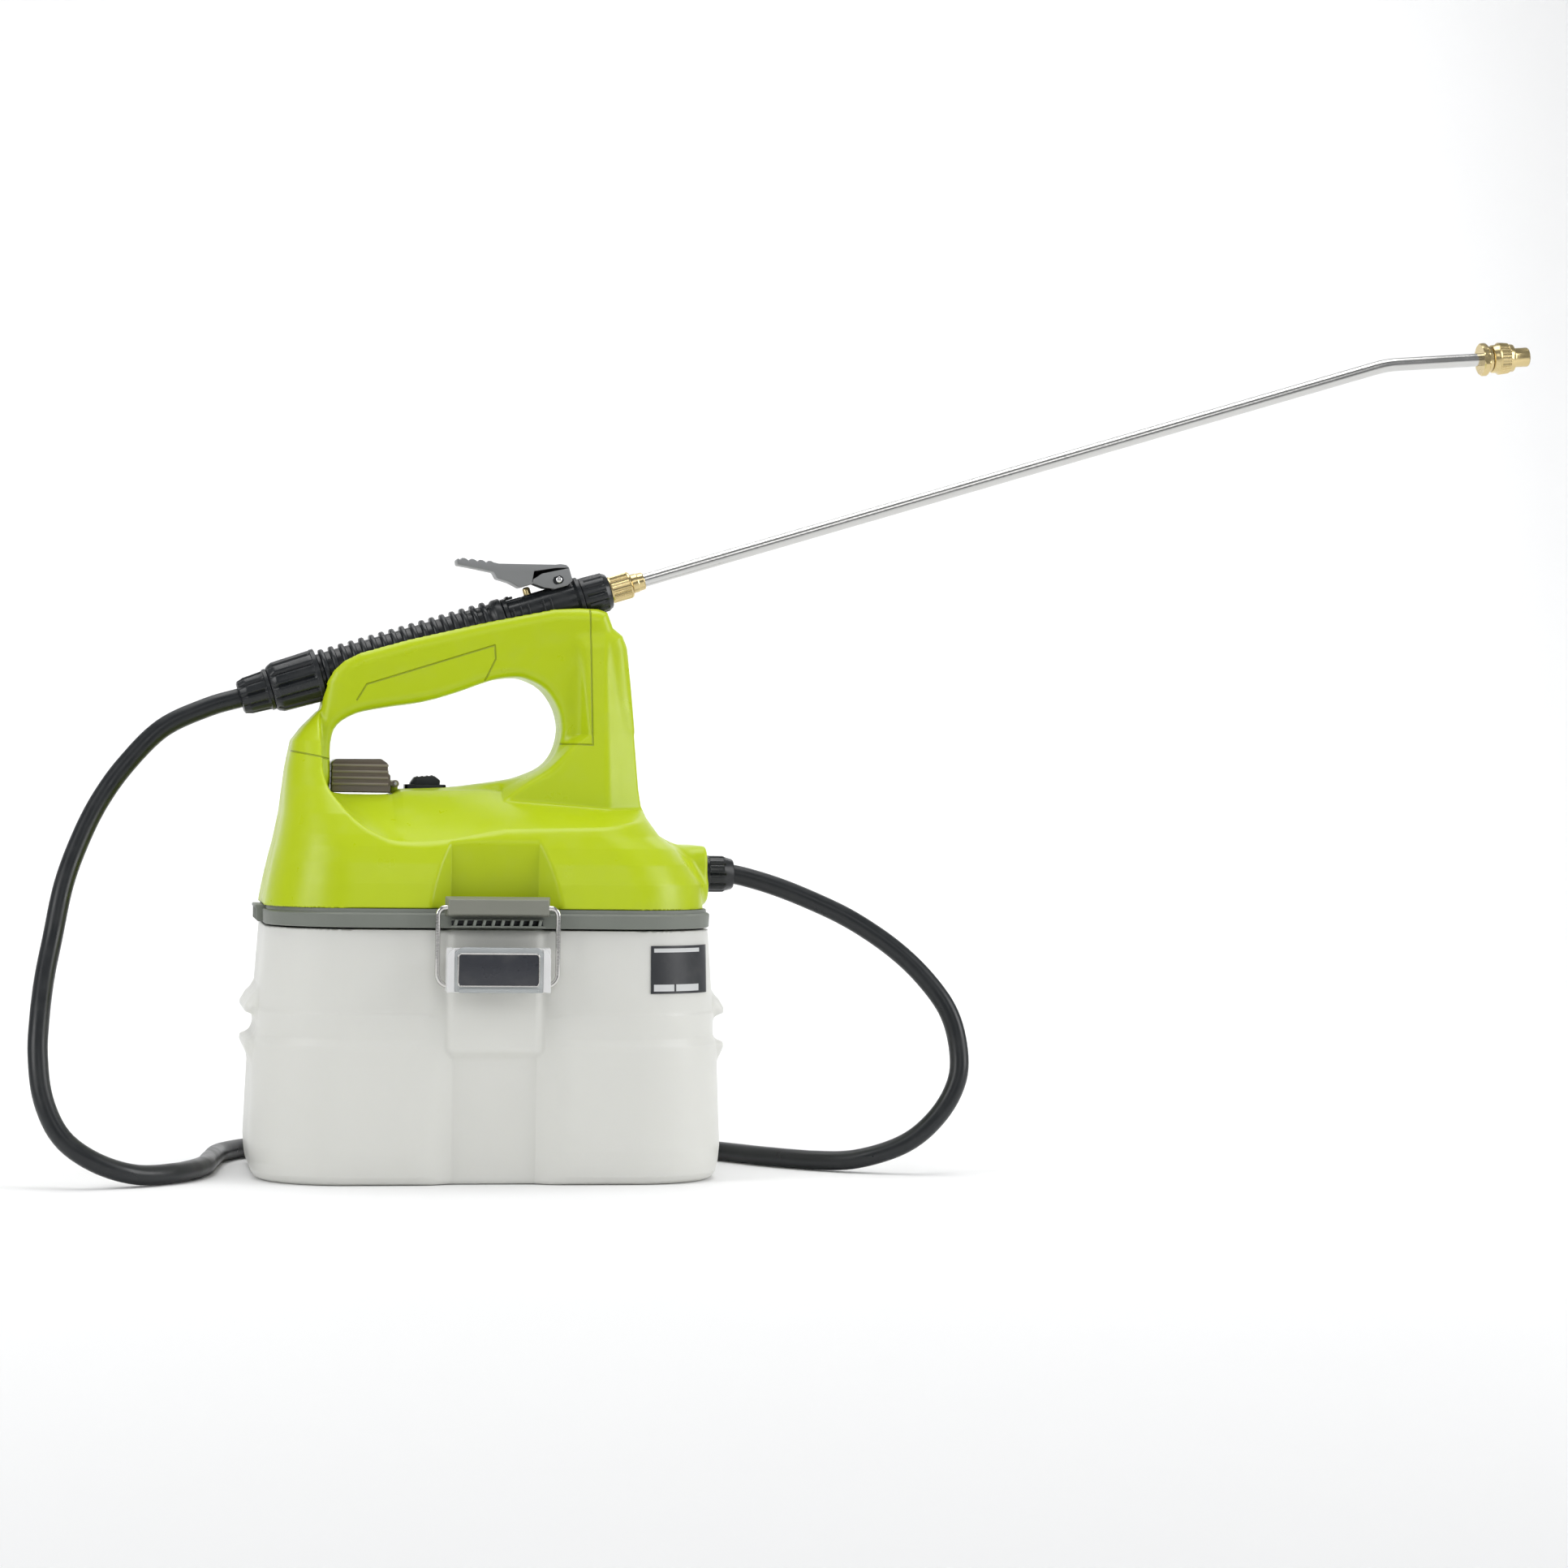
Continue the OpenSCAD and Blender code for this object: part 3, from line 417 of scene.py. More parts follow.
def surface(fn, lo, hi, h, iters=3):
    """Surface nets on a grid, then each vertex is pulled onto the surface."""
    ax = [np.arange(lo[i], hi[i] + h, h, dtype=np.float32) for i in range(3)]
    nx, ny, nz = (len(a) for a in ax)
    V = np.empty((nx, ny, nz), np.float32)
    for i0 in range(0, nx, 24):
        X, Y, Z = np.meshgrid(ax[0][i0:i0 + 24], ax[1], ax[2], indexing="ij")
        V[i0:i0 + 24] = fn(X, Y, Z)
    S = V < 0
    cell = np.zeros((nx - 1, ny - 1, nz - 1), np.uint8)
    for dx in (0, 1):
        for dy in (0, 1):
            for dz in (0, 1):
                cell += S[dx:nx - 1 + dx, dy:ny - 1 + dy, dz:nz - 1 + dz]
    act = (cell > 0) & (cell < 8)
    idx = np.full(act.shape, -1, np.int64)
    I = np.argwhere(act)
    idx[act] = np.arange(len(I))
    P = np.zeros((len(I), 3)); C = np.zeros(len(I))
    corners = [(a, b, c) for a in (0, 1) for b in (0, 1) for c in (0, 1)]
    for p in corners:
        for axis in range(3):
            if p[axis] == 1:
                continue
            q = list(p); q[axis] = 1
            va = V[I[:, 0] + p[0], I[:, 1] + p[1], I[:, 2] + p[2]]
            vb = V[I[:, 0] + q[0], I[:, 1] + q[1], I[:, 2] + q[2]]
            cross = (va < 0) != (vb < 0)
            t = np.where(cross, va / np.where(cross, va - vb, 1), 0)
            pos = np.tile(np.array(p, float), (len(I), 1))
            pos[:, axis] = t
            P += np.where(cross[:, None], pos, 0); C += cross
    P = (P / C[:, None] + I) * h + np.array(lo)
    faces = []
    for axis in range(3):
        A = np.moveaxis(S, axis, 0)
        ch = A[:-1] != A[1:]
        ch = np.moveaxis(ch, 0, axis)
        E = np.argwhere(ch)
        o1, o2 = [i for i in range(3) if i != axis]
        ok = (E[:, o1] > 0) & (E[:, o2] > 0) & (E[:, o1] < cell.shape[o1]) & (E[:, o2] < cell.shape[o2])
        E = E[ok]
        q = []
        for a, b in ((0, 0), (1, 0), (1, 1), (0, 1)):
            G = E.copy(); G[:, o1] -= a; G[:, o2] -= b
            q.append(idx[G[:, 0], G[:, 1], G[:, 2]])
        q = np.stack(q, 1)
        inside = S[E[:, 0], E[:, 1], E[:, 2]]
        flip = inside if axis != 1 else ~inside
        q[~flip] = q[~flip][:, ::-1]
        faces.append(q)
    F = np.concatenate(faces)
    e = 0.15
    for _ in range(iters):
        d = fn(*P.T)
        g = np.stack([fn(*(P + np.eye(3)[k] * e).T) - fn(*(P - np.eye(3)[k] * e).T) for k in range(3)], 1) / (2 * e)
        g2 = (g * g).sum(1)
        stepv = (d / np.maximum(g2, 0.25))[:, None] * g
        ln = np.linalg.norm(stepv, axis=1)[:, None]
        P = P - stepv * np.minimum(1, 0.45 * h / np.maximum(ln, 1e-9))
    return P, F


def shell(name, fn, lo, hi, h, material, **kw):
    P, F = surface(fn, lo, hi, h)
    me = bpy.data.meshes.new(name)
    me.vertices.add(len(P)); me.vertices.foreach_set("co", (P * MM).astype(np.float32).ravel())
    me.loops.add(len(F) * 4); me.loops.foreach_set("vertex_index", F.astype(np.int32).ravel())
    me.polygons.add(len(F)); me.polygons.foreach_set("loop_start", np.arange(len(F), dtype=np.int32) * 4)
    me.update(calc_edges=True)
    me.validate()
    me.shade_smooth()
    # normals straight from the distance field
    e = 0.2
    g = np.stack([fn(*(P + np.eye(3)[k] * e).T) - fn(*(P - np.eye(3)[k] * e).T) for k in range(3)], 1)
    g /= np.maximum(np.linalg.norm(g, axis=1), 1e-9)[:, None]
    me.normals_split_custom_set_from_vertices(g.tolist())
    ob = bpy.data.objects.new(name, me)
    sc.collection.objects.link(ob)
    me.materials.append(material)
    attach(ob, kw.get("body", "base"))
    if kw.get("replaces"):
        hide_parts(*kw["replaces"])
    return ob


# ------------------------------------------------------------------ tank
def recess_sd(X, Y, inner=21.0, floor=73.0, outer=37.0, face=81.2):
    """Negative inside the trapezoid slot cut in the front or back face."""
    y = np.abs(Y)
    sl = (face - floor) / (outer - inner)
    nrm = math.hypot(1, sl)
    side = (np.abs(X) - inner - (y - floor) / sl) * sl / nrm
    return np.maximum(floor - y, side)


def tank_fn(X, Y, Z):
    low = loft(X, Y, Z, [(0, -114.4, 114.4, 75.5, 42), (1.2, -116.6, 116.6, 77.5, 44), (4, -118.4, 118.4, 79.4, 46), (9, -119.3, 119.3, 80.3, 46), (17, -119.9, 119.9, 81, 46),
                         (59, -118.3, 118.3, 79.8, 46), (69, -117.7, 117.7, 79.2, 46), (73, -115.8, 115.8, 77.8, 46), (84, -115.6, 115.6, 77.6, 46)])
    high = loft(X, Y, Z, [(60, -116.0, 116.0, 77.8, 46), (93, -115.5, 115.5, 77.5, 46), (127, -113.2, 113.2, 76, 46)])
    d = smin(low, high, 2.5)
    # ears round both ends
    ear = poly_sd(np.abs(X) - 3.5, Z, [(100, 55), (113.6, 57), (117.2, 62), (119, 66), (119, 69.8), (114, 71.4), (111.8, 76.3), (114, 81.2), (119, 82.8), (119, 86.4), (116, 91.4), (112.0, 95), (100, 97)])
    ear = smax(ear, np.abs(Y) - 36, 6)
    d = smin(d, ear, 3.0)
    notch = np.hypot(np.abs(X) - 123.1, Z - 76.3) - 7.0
    d = smax(d, -smax(notch, np.abs(Y) - 52, 4), 1.6)
    rc = recess_sd(X, Y)
    d = smax(d, -rc, 3.0)
    pan = box_sd(X, np.abs(Y), Z, (0, 66.5, 96), (24.7, 9.9, 32), 5)
    pan = np.maximum(pan, Z - 127)
    d = smin(d, pan, 2.0)
    return d


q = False
tank = shell("Tank", tank_fn, (-125, -83, -1.7), (125, 83, 129), 2.4 if q else 1.2, M_tank, replaces=["tank"], slot="tank_plastic")

# ------------------------------------------------------------------ housing
opening = smooth_poly([(-79.6, 206), (-79.8, 220), (-76.6, 229), (-67, 235), (-53.2, 238.2), (-32.4, 241.6), (-15.7, 246.6),
                       (1.1, 252.8), (12, 254.8), (20, 254.2), (29.8, 249.0), (36.5, 239), (38.6, 228), (36, 217), (30, 209.4),
                       (20, 204.6), (10.2, 202), (-6.6, 199.8), (-21.3, 198.6), (-40, 198), (-44.5, 197.6), (-49.5, 195.6), (-62, 195.2), (-77, 196.4)], n=3)
handle_out = [(-92, 196), (-92, 224), (-85.5, 233), (-83.4, 245), (-82.5, 251.3), (-79.5, 257.4), (-74, 262.5), (-66, 266.8), (-41, 274.2),
              (0.6, 284.3), (34.3, 291.4), (47, 291.8), (57, 291.2), (62, 289.5), (65, 281.5), (70, 277.5), (72, 271),
              (74, 250), (76, 228), (30, 196)]
CONE = [(137.5, -113.6, 110, 77, 44), (150, -111.4, 109, 74.5, 43), (160, -109.2, 103, 71.4, 40), (168, -107.2, 96, 68, 38), (174, -106.0, 88, 64.6, 36),
        (184, -104.2, 81, 58, 33), (198, -102.8, 78.4, 45, 26), (207, -101.9, 78, 38, 22), (221, -99.3, 77, 28.5, 16), (228, -94, 76, 24, 13), (236, -86.4, 75, 18.5, 10)]
TOWER_X = [(160, 104), (168, 96), (174, 88.4), (180, 83), (186, 80), (198, 78.2), (228, 76), (250, 74), (271, 72), (277.5, 70), (281.5, 65), (289.5, 62), (300, 60)]


def head_fn(X, Y, Z):
    ay = np.abs(Y)
    cone = loft(X, Y, Z, CONE, soft=2.0)
    # scooped deck, from a plateau in the middle down to the crease with the front and back faces
    top = np.interp(X, [-84, -49, -44, -20, 0, 12, 60, 84], [195.6, 195.4, 196.8, 197.6, 197.0, 195.6, 190.6, 187.5])
    low_ = np.interp(X, [-100, -87, -70, -53, -35, -21, 5.5, 57, 90], [176, 173.4, 170.6, 168.9, 169.0, 170.1, 174.4, 176.6, 177.5])
    deck = top - (top - low_) * np.maximum(ay - 20, 0) / 48.0
    deck = Z - deck
    nrm = 1.0 / np.sqrt(1 + ((top - low_) / 48.0) ** 2)
    column = X + 84.5 + 0.04 * (Z - 196)
    k = 6 + 0.8 * np.maximum(ay - 20, 0)
    cut = smin(deck * nrm, column, k)
    d = smax(cone, cut, 1.6)
    # right tower: flat front and back, chamfered corner, side that flares late
    z = Z
    F = 17.5 + np.clip(285 - z, -20, 125) * 0.142
    xr = np.interp(z, [q[0] for q in TOWER_X], [q[1] for q in TOWER_X])
    front = (ay - F) * 0.99
    right = X - xr
    m = 9.5
    w_ = np.maximum(xr - 61, 4)
    cham = ((X - 61) * m + (ay - F) * w_) / np.sqrt(m * m + w_ * w_)
    lface = 0.92 * ((X - 10.5) * -0.587 + (Z - 194) * 0.81) + 0.39 * (ay - 29)
    lface = np.where(Z > 226, np.minimum(lface, 0.92 * ((X - 10.5) * -0.587 + 32 * 0.81) + 0.39 * (ay - 29)), lface)
    tw = smax(front, smax(cham, right, 1.4), 1.4)
    tw = smax(tw, lface, 2.0)
    tw = smax(tw, Z - 278, 8)
    tw = np.maximum(tw, 20 - X - 12)
    tw = np.maximum(tw, 150 - Z)
    d = smin(d, tw, 1.8)
    # raised spine with the switch, running up to the tower
    spine = poly_sd(X, Z, [(-50, 185), (-49.5, 195.0), (-44, 198.4), (-21.3, 199), (-6.6, 200.2), (10.2, 202.4), (20, 205), (30, 210), (44, 232), (64, 232), (64, 185)])
    spine = smax(spine, (ay - 12.5 + (Z - 200) * 0.75) * 0.8, 5)
    d = smin(d, spine, 3.0)
    hn = poly_sd(X, Z, handle_out)
    hn = smax(hn, ay - 17.5, 8)
    d = smin(d, hn, 3.0)
    # shoulder round the outlet
    boss = rrect(Z - 155.2, Y, 14.2, 30, 9)
    boss = smax(boss, X - 113.5, 2.5)
    boss = np.maximum(boss, 60 - X)
    d = smin(d, boss, 9)
    d = np.maximum(d, -(Z - 137.5))
    op = poly_sd(X, Z, opening)
    d = smax(d, -op, 6.0)
    # recess over the latch
    rc = recess_sd(X, Y, 22, 66.2, 37, 80.6)
    d = smax(d, -rc, 1.2)
    # trough for the lance
    s = (X - P0[0]) * AX[0] + (Z - P0[2]) * AX[2]
    p = (X - P0[0]) * UP[0] + (Z - P0[2]) * UP[2]
    r = np.where(s < -66.9, 14.6, 13.1)
    ch = np.where(p < 0, np.hypot(p, Y), np.abs(Y)) - r
    d = smax(d, -ch, 1.4)
    # pocket for the battery door and for the switch
    d = smax(d, -box_sd(X, Y, Z, (-63.9, 0, 204), (15.7, 17.1, 16), 1.0), 0.8)
    d = smax(d, -box_sd(X, Y, Z, (-30.5, 0, 204), (10.7, 6.2, 12), 1.0), 0.8)
    # bore round the outlet
    d = smax(d, -smax(np.hypot(Z - 154.5, Y) - 10.6, 112.2 - X, 0.8), 0.8)
    return d


housing = shell("Housing", head_fn, (-118, -80, 135.9), (118, 80, 297), 2.2 if q else 1.0, M_green, replaces=["shell_front", "shell_rear"], slot="green_plastic")

# engraved panel lines and the seam between the two housing halves, cut into the green finish
LINES = [((-66.9, 242.0), (-62.1, 250.0)), ((-62.1, 250.0), (3.2, 271.2)), ((3.2, 271.2), (3.7, 264.1)), ((3.7, 264.1), (-1.5, 253.2)),
         ((52.4, 293.1), (53.4, 220.7)), ((53.4, 220.7), (34.5, 221.2)), ((-100.3, 215.4), (-80.9, 211.6))]


def engrave(m, lines, width=0.55, depth=0.0006):
    nt = m.node_tree
    tc = node(nt, "ShaderNodeTexCoord")
    sep = node(nt, "ShaderNodeSeparateXYZ"); nt.links.new(tc.outputs["Object"], sep.inputs[0])
    xz = node(nt, "ShaderNodeCombineXYZ")
    nt.links.new(sep.outputs["X"], xz.inputs["X"]); nt.links.new(sep.outputs["Z"], xz.inputs["Z"])
    best = None

    def math_(op, a, b=None):
        n = node(nt, "ShaderNodeMath", operation=op)
        for i, q in enumerate((a, b)):
            if q is None:
                continue
            if isinstance(q, (int, float)):
                n.inputs[i].default_value = q
            else:
                nt.links.new(q, n.inputs[i])
        return n.outputs[0]

    def vec(op, a, b):
        n = node(nt, "ShaderNodeVectorMath", operation=op)
        for i, q in enumerate((a, b)):
            if isinstance(q, (tuple, list)):
                n.inputs[i].default_value = q
            else:
                nt.links.new(q, n.inputs[i])
        return n

    for a, b in lines:
        A = (a[0] * MM, 0, a[1] * MM)
        E = ((b[0] - a[0]) * MM, 0, (b[1] - a[1]) * MM)
        ee = E[0] ** 2 + E[2] ** 2
        w = vec("SUBTRACT", xz.outputs[0], A).outputs["Vector"]
        t = math_("DIVIDE", vec("DOT_PRODUCT", w, E).outputs["Value"], ee)
        cl = node(nt, "ShaderNodeClamp"); nt.links.new(t, cl.inputs["Value"])
        sc_ = node(nt, "ShaderNodeVectorMath", operation="SCALE")
        sc_.inputs[0].default_value = E
        nt.links.new(cl.outputs[0], sc_.inputs["Scale"])
        d = vec("DISTANCE", w, sc_.outputs["Vector"]).outputs["Value"]
        best = d if best is None else math_("MINIMUM", best, d)
    # lines are on the broad faces only
    ay = math_("ABSOLUTE", sep.outputs["Y"])
    off = math_("MULTIPLY", math_("LESS_THAN", ay, 0.0135), 1.0)
    best = math_("ADD", best, off)
    seam = math_("MULTIPLY", ay, 1.3)
    best = math_("MINIMUM", best, seam)
    mr = node(nt, "ShaderNodeMapRange", interpolation_type="SMOOTHSTEP")
    mr.inputs["From Min"].default_value = width * MM * 0.25
    mr.inputs["From Max"].default_value = width * MM
    nt.links.new(best, mr.inputs["Value"])
    bp = node(nt, "ShaderNodeBump"); bp.inputs["Strength"].default_value = 1.0; bp.inputs["Distance"].default_value = depth
    nt.links.new(mr.outputs[0], bp.inputs["Height"])
    last = nt.nodes[m["last"]]
    first = [l.from_node for l in nt.links if l.to_node == last and l.to_socket.name == "Normal"][0]
    nt.links.new(bp.outputs[0], first.inputs["Normal"])
    # a little shade in the groove
    b = nt.nodes[m["b"]]
    src = [l.from_socket for l in nt.links if l.to_node == b and l.to_socket.name == "Base Color"][0]
    mx = node(nt, "ShaderNodeMix", data_type="RGBA", blend_type="MULTIPLY")
    mx.inputs["Factor"].default_value = 1.0
    cr = node(nt, "ShaderNodeMapRange"); cr.inputs["To Min"].default_value = 0.62; cr.inputs["To Max"].default_value = 1.0
    nt.links.new(mr.outputs[0], cr.inputs["Value"])
    nt.links.new(src, mx.inputs["A"]); nt.links.new(cr.outputs[0], mx.inputs["B"])
    nt.links.new(mx.outputs["Result"], b.inputs["Base Color"])


engrave(M_green, LINES)


# ------------------------------------------------------------------ collar, plate, gasket
def outline(hx, hy, r, n=14):
    pts = []
    for k, (sx, sy) in enumerate(((1, 1), (-1, 1), (-1, -1), (1, -1))):
        for i in range(n + 1):
            a = (k * 90 + i * 90 / n) * math.pi / 180
            pts.append((sx * (hx - r) + r * math.cos(a), sy * (hy - r) + r * math.sin(a)))
    return pts


def stack(rows, n=14, cap=True):
    v, f = [], []
    for z, hx, hy, r in rows:
        v += [(x, y, z) for x, y in outline(hx, hy, r, n)]
    m = 4 * (n + 1)
    for i in range(len(rows) - 1):
        for k in range(m):
            f.append([i * m + k, i * m + (k + 1) % m, (i + 1) * m + (k + 1) % m, (i + 1) * m + k])
    if cap:
        f.append(list(range(m))[::-1]); f.append([(len(rows) - 1) * m + k for k in range(m)])
    else:
        i = len(rows) - 1
        for k in range(m):
            f.append([i * m + k, i * m + (k + 1) % m, (k + 1) % m, k])
    return v, f


g = Geo()
g.add(*stack([(128.0, 112.6, 78.2, 46), (128.7, 113.3, 78.9, 46), (134.6, 113.5, 79.0, 46), (135.4, 112.9, 78.4, 46), (135.6, 112.0, 77.6, 45.4), (137.4, 111.6, 77.4, 45),
              (137.4, 107, 66, 36), (128.0, 107, 66, 36)], cap=False))
# lug on the left end, hollowed on its outer face
g.add(*rbox((-112.6, 0, 136.2), (9.2, 40, 1.8), 0.7))
g.add(*rbox((-112.8, 0, 129.4), (6.4, 34, 1.8), 0.7))
for yy in (-18.4, 0, 18.4):
    g.add(*rbox((-113.4, yy, 132.7), (6.6, 3.2, 7.2), 0.8))
collar = make("Collar", g.v, g.f, M_grey, replaces=["collar_ring"], sharp=35)
g = Geo()
for m in (-1, 1):
    g.add(*rbox((0, m * 79.5, 131.0), (45.6, 0.8, 3.4), 0.2))
make("CatchShade", g.v, g.f, M_black)
# ribbed catches on the ring
for m, side in ((-1, "front"), (1, "rear")):
    g = Geo()
    g.add(*rbox((0, m * 82.3, 129.15), (46.6, 6.2, 0.7), 0.25))
    g.add(*rbox((0, m * 80.3, 132.35), (46.6, 2.2, 0.8), 0.2))
    for i in range(10):
        bx, bf = rbox((0, 0, 0), (1.5, 5.2, 3.5), 0.35)
        ca, sa = math.cos(rad(14)), math.sin(rad(14))
        g.add(bx, bf, frame_at((-21.0 + i * 4.66, m * 82.3, 130.8), (ca, 0, -sa), (0, 1, 0), (sa, 0, ca)))
    make("Catch" + side.capitalize(), g.v, g.f, M_grey, replaces=["catch_" + side], sharp=35)
v, f = stack([(133.5, 106.2, 63.8, 36.8), (137.5, 106.2, 63.8, 36.8)])
make("BasePlate", v, f, M_grey, replaces=["base_plate"])
v, f = stack([(127, 112.4, 66.7, 45), (127.3, 112.5, 66.9, 45), (128, 112.4, 66.7, 45), (128, 105.5, 61, 38), (127, 105.5, 61, 38)], cap=False)
make("Gasket", v, f, M_seal, replaces=["tank_gasket"])

# ------------------------------------------------------------------ rating label (blank)
nu, nv = 40, 24


def tank_y(x, z, off):
    a = np.interp(z, [93, 127], [115.5, 113.2]); b = np.interp(z, [93, 127], [77.5, 76.0]); r = 46 + off
    cx_ = a - 46
    if x <= cx_:
        return -(b + off)
    return -(b - 46) - math.sqrt(max(0.0, r * r - (x - cx_) ** 2))


def patch(x0, x1, z0, z1, off, thick=0.5):
    v, f = [], []
    for lay in (off, off - thick):
        for j in range(nv + 1):
            for i in range(nu + 1):
                x, z = x0 + (x1 - x0) * i / nu, z0 + (z1 - z0) * j / nv
                v.append((x, tank_y(x, z, lay), z))
    w = nu + 1; o = w * (nv + 1)
    for j in range(nv):
        for i in range(nu):
            a = j * w + i
            f.append([a, a + 1, a + w + 1, a + w]); f.append([o + a, o + a + w, o + a + w + 1, o + a + 1])
    rim = [i for i in range(w)] + [j * w + nu for j in range(1, nv + 1)] + [nv * w + i for i in range(nu - 1, -1, -1)] + [j * w for j in range(nv - 1, 0, -1)]
    for k in range(len(rim)):
        a, b = rim[k], rim[(k + 1) % len(rim)]
        f.append([a, b, o + b, o + a])
    return v, f


v, f = patch(78.0, 109.6, 95.7, 119.7, 0.45)
make("RatingLabel", v, f, M_label, replaces=["rating_plate"], sharp=40)
g = Geo()
g.add(*patch(79.6, 90.5, 96.9, 100.3, 0.50, 0.3)); g.add(*patch(91.6, 104.5, 96.9, 100.3, 0.50, 0.3)); g.add(*patch(79.6, 105.0, 116.4, 118.4, 0.50, 0.3))
make("RatingLabelFields", g.v, g.f, M_labelw, sharp=40)

# ------------------------------------------------------------------ latches
for side, sg in (("front", 1), ("rear", -1)):
    cap = side.capitalize()
    MIR = np.diag([1, sg, 1, 1]).astype(float)
    g = Geo()
    g.add(*rbox((0, -78.6, 109.65), (30, 4.2, 11.3), 0.8), MIR)
    g.add(*rbox((0, -81.2, 113.1), (28, 8, 3.8), 0.5), MIR)
    cyl, cf = lathe([(-14, 2.3), (-13.6, 2.7), (13.6, 2.7), (14, 2.3)], 32)
    g.add(cyl, cf, MIR @ frame_at((0, -85.5, 113.1), (1, 0, 0), (0, 1, 0), (0, 0, 1)))
    make("LatchBracket" + cap, g.v, g.f, M_grey, replaces=["latch_bracket_" + side])
    # lever: clear plate between white cheeks, a dark blank badge behind it
    g = Geo()
    for m in (-1, 1):
        g.add(*prism([(-5.2, 97.4), (4.6, 96.8), (5.4, 104), (5.0, 114.6), (1.4, 119.0), (-3.2, 118.4)], 3.0, 0.6),
              MIR @ frame_at((m * 24.3, -86.4, 0), (0, 1, 0), (-1, 0, 0), (0, 0, 1)))
        g.add(*prism([(-1.9, 97.0), (1.9, 96.6), (1.9, 114.0), (0.2, 117.2), (-1.9, 118.6)] if m > 0 else [(-1.9, 96.6), (1.9, 97.0), (1.9, 118.6), (-0.2, 117.2), (-1.9, 114.0)], 1.8, 0.5),
              MIR @ frame_at((m * 23.9, -90.9, 0), (1, 0, 0), (0, 1, 0), (0, 0, 1)))
    g.add(*rbox((0, -88.4, 117.4), (46, 2.0, 2.6), 0.6), MIR)
    g.add(*rbox((0, -88.6, 97.9), (46, 2.4, 2.4), 0.6), MIR)
    make("LatchLeverFrame" + cap, g.v, g.f, M_white, body="lever_" + side, replaces=["latch_lever_" + side])
    g = Geo()
    g.add(*prism([(-22.2, 97.0), (22.2, 96.6), (22.2, 116.4), (19.6, 119.0), (-18.6, 119.2), (-22.2, 116.6)], 2.3, 0.9), MIR @ frame_at((0, -90.6, 0), (1, 0, 0), (0, 1, 0), (0, 0, 1)))
    g.add(*rbox((0, -92.2, 97.6), (40, 2.2, 2.0), 0.9), MIR)
    make("LatchPlate" + cap, g.v, g.f, M_clear, body="lever_" + side)
    g = Geo()
    g.add(*rbox((-0.2, -91.85, 107.9), (39.4, 0.5, 15.2), 0.24), MIR)
    make("LatchBadge" + cap, g.v, g.f, M_badge, body="lever_" + side, replaces=["latch_badge_" + side])
    g = Geo()
    loop = []
    for k, (sx, sz) in enumerate(((1, 1), (-1, 1), (-1, -1), (1, -1))):
        for i in range(5):
            a = rad(k * 90 + i * 22.5)
            loop.append((-0.2 + sx * 18.5 + 1.6 * math.cos(a), -91.95, 107.9 + sz * 6.4 + 1.6 * math.sin(a)))
    loop.append(loop[0])
    v, f = tube(loop, 0.42, n=10, up=(0, 1, 0))
    g.add(v, f, MIR)
    make("LatchBadgeRim" + cap, g.v, g.f, M_chrome, body="lever_" + side)
    cyl, cf = lathe([(-24.9, 0.9), (-24.6, 1.25), (24.6, 1.25), (24.9, 0.9)], 24)
    g = Geo().add(cyl, cf, MIR @ frame_at((0, -85.5, 113.1), (1, 0, 0), (0, 1, 0), (0, 0, 1)))
    make("LatchPin" + cap, g.v, g.f, M_steel, replaces=["latch_pin_" + side])
    # bail wire
    path = []
    for m in (-1, 1):
        leg = [(21.6, 99.6), (23.0, 99.6)] + [(24.1 + 5.9 * math.sin(rad(a)), 105.5 - 5.9 * math.cos(rad(a))) for a in range(0, 91, 10)]
        leg += [(30, 115), (30, 125)] + [(26 + 4 * math.cos(rad(a)), 134.5 + 4 * math.sin(rad(a))) for a in range(0, 91, 15)] + [(15, 138.5), (3, 138.5)]
        leg = [(m * x, -84.2, z) for x, z in leg]
        path = path + (leg if m < 0 else leg[::-1])
    v, f = tube(path, 1.3, n=16, up=(0, 1, 0))
    g = Geo().add(v, f, MIR)
    make("LatchBail" + cap, g.v, g.f, M_chrome, body="bail_" + side, replaces=["latch_bail_" + side], sharp=60)
    g = Geo()
    # grip block: broad bevel round a flat face
    bm = bmesh.new(); bmesh.ops.create_cube(bm, size=1.0)
    for q_ in bm.verts:
        k = 0.945 if q_.co.y < 0 else 1.0
        kz = 0.72 if q_.co.y < 0 else 1.0
        q_.co = Vector((q_.co.x * 52.6 * k, q_.co.y * 7.4, q_.co.z * 10.2 * kz))
    bmesh.ops.bevel(bm, geom=list(bm.edges), offset=0.55, segments=3, profile=0.5, affect="EDGES")
    bm.verts.index_update()
    g.add([(t.co.x, t.co.y - 83.6, t.co.z + 138.9) for t in bm.verts], [[t.index for t in q_.verts] for q_ in bm.faces], MIR); bm.free()
    make("BailGrip" + cap, g.v, g.f, M_grey2, body="bail_" + side, replaces=["bail_grip_" + side], sharp=35)

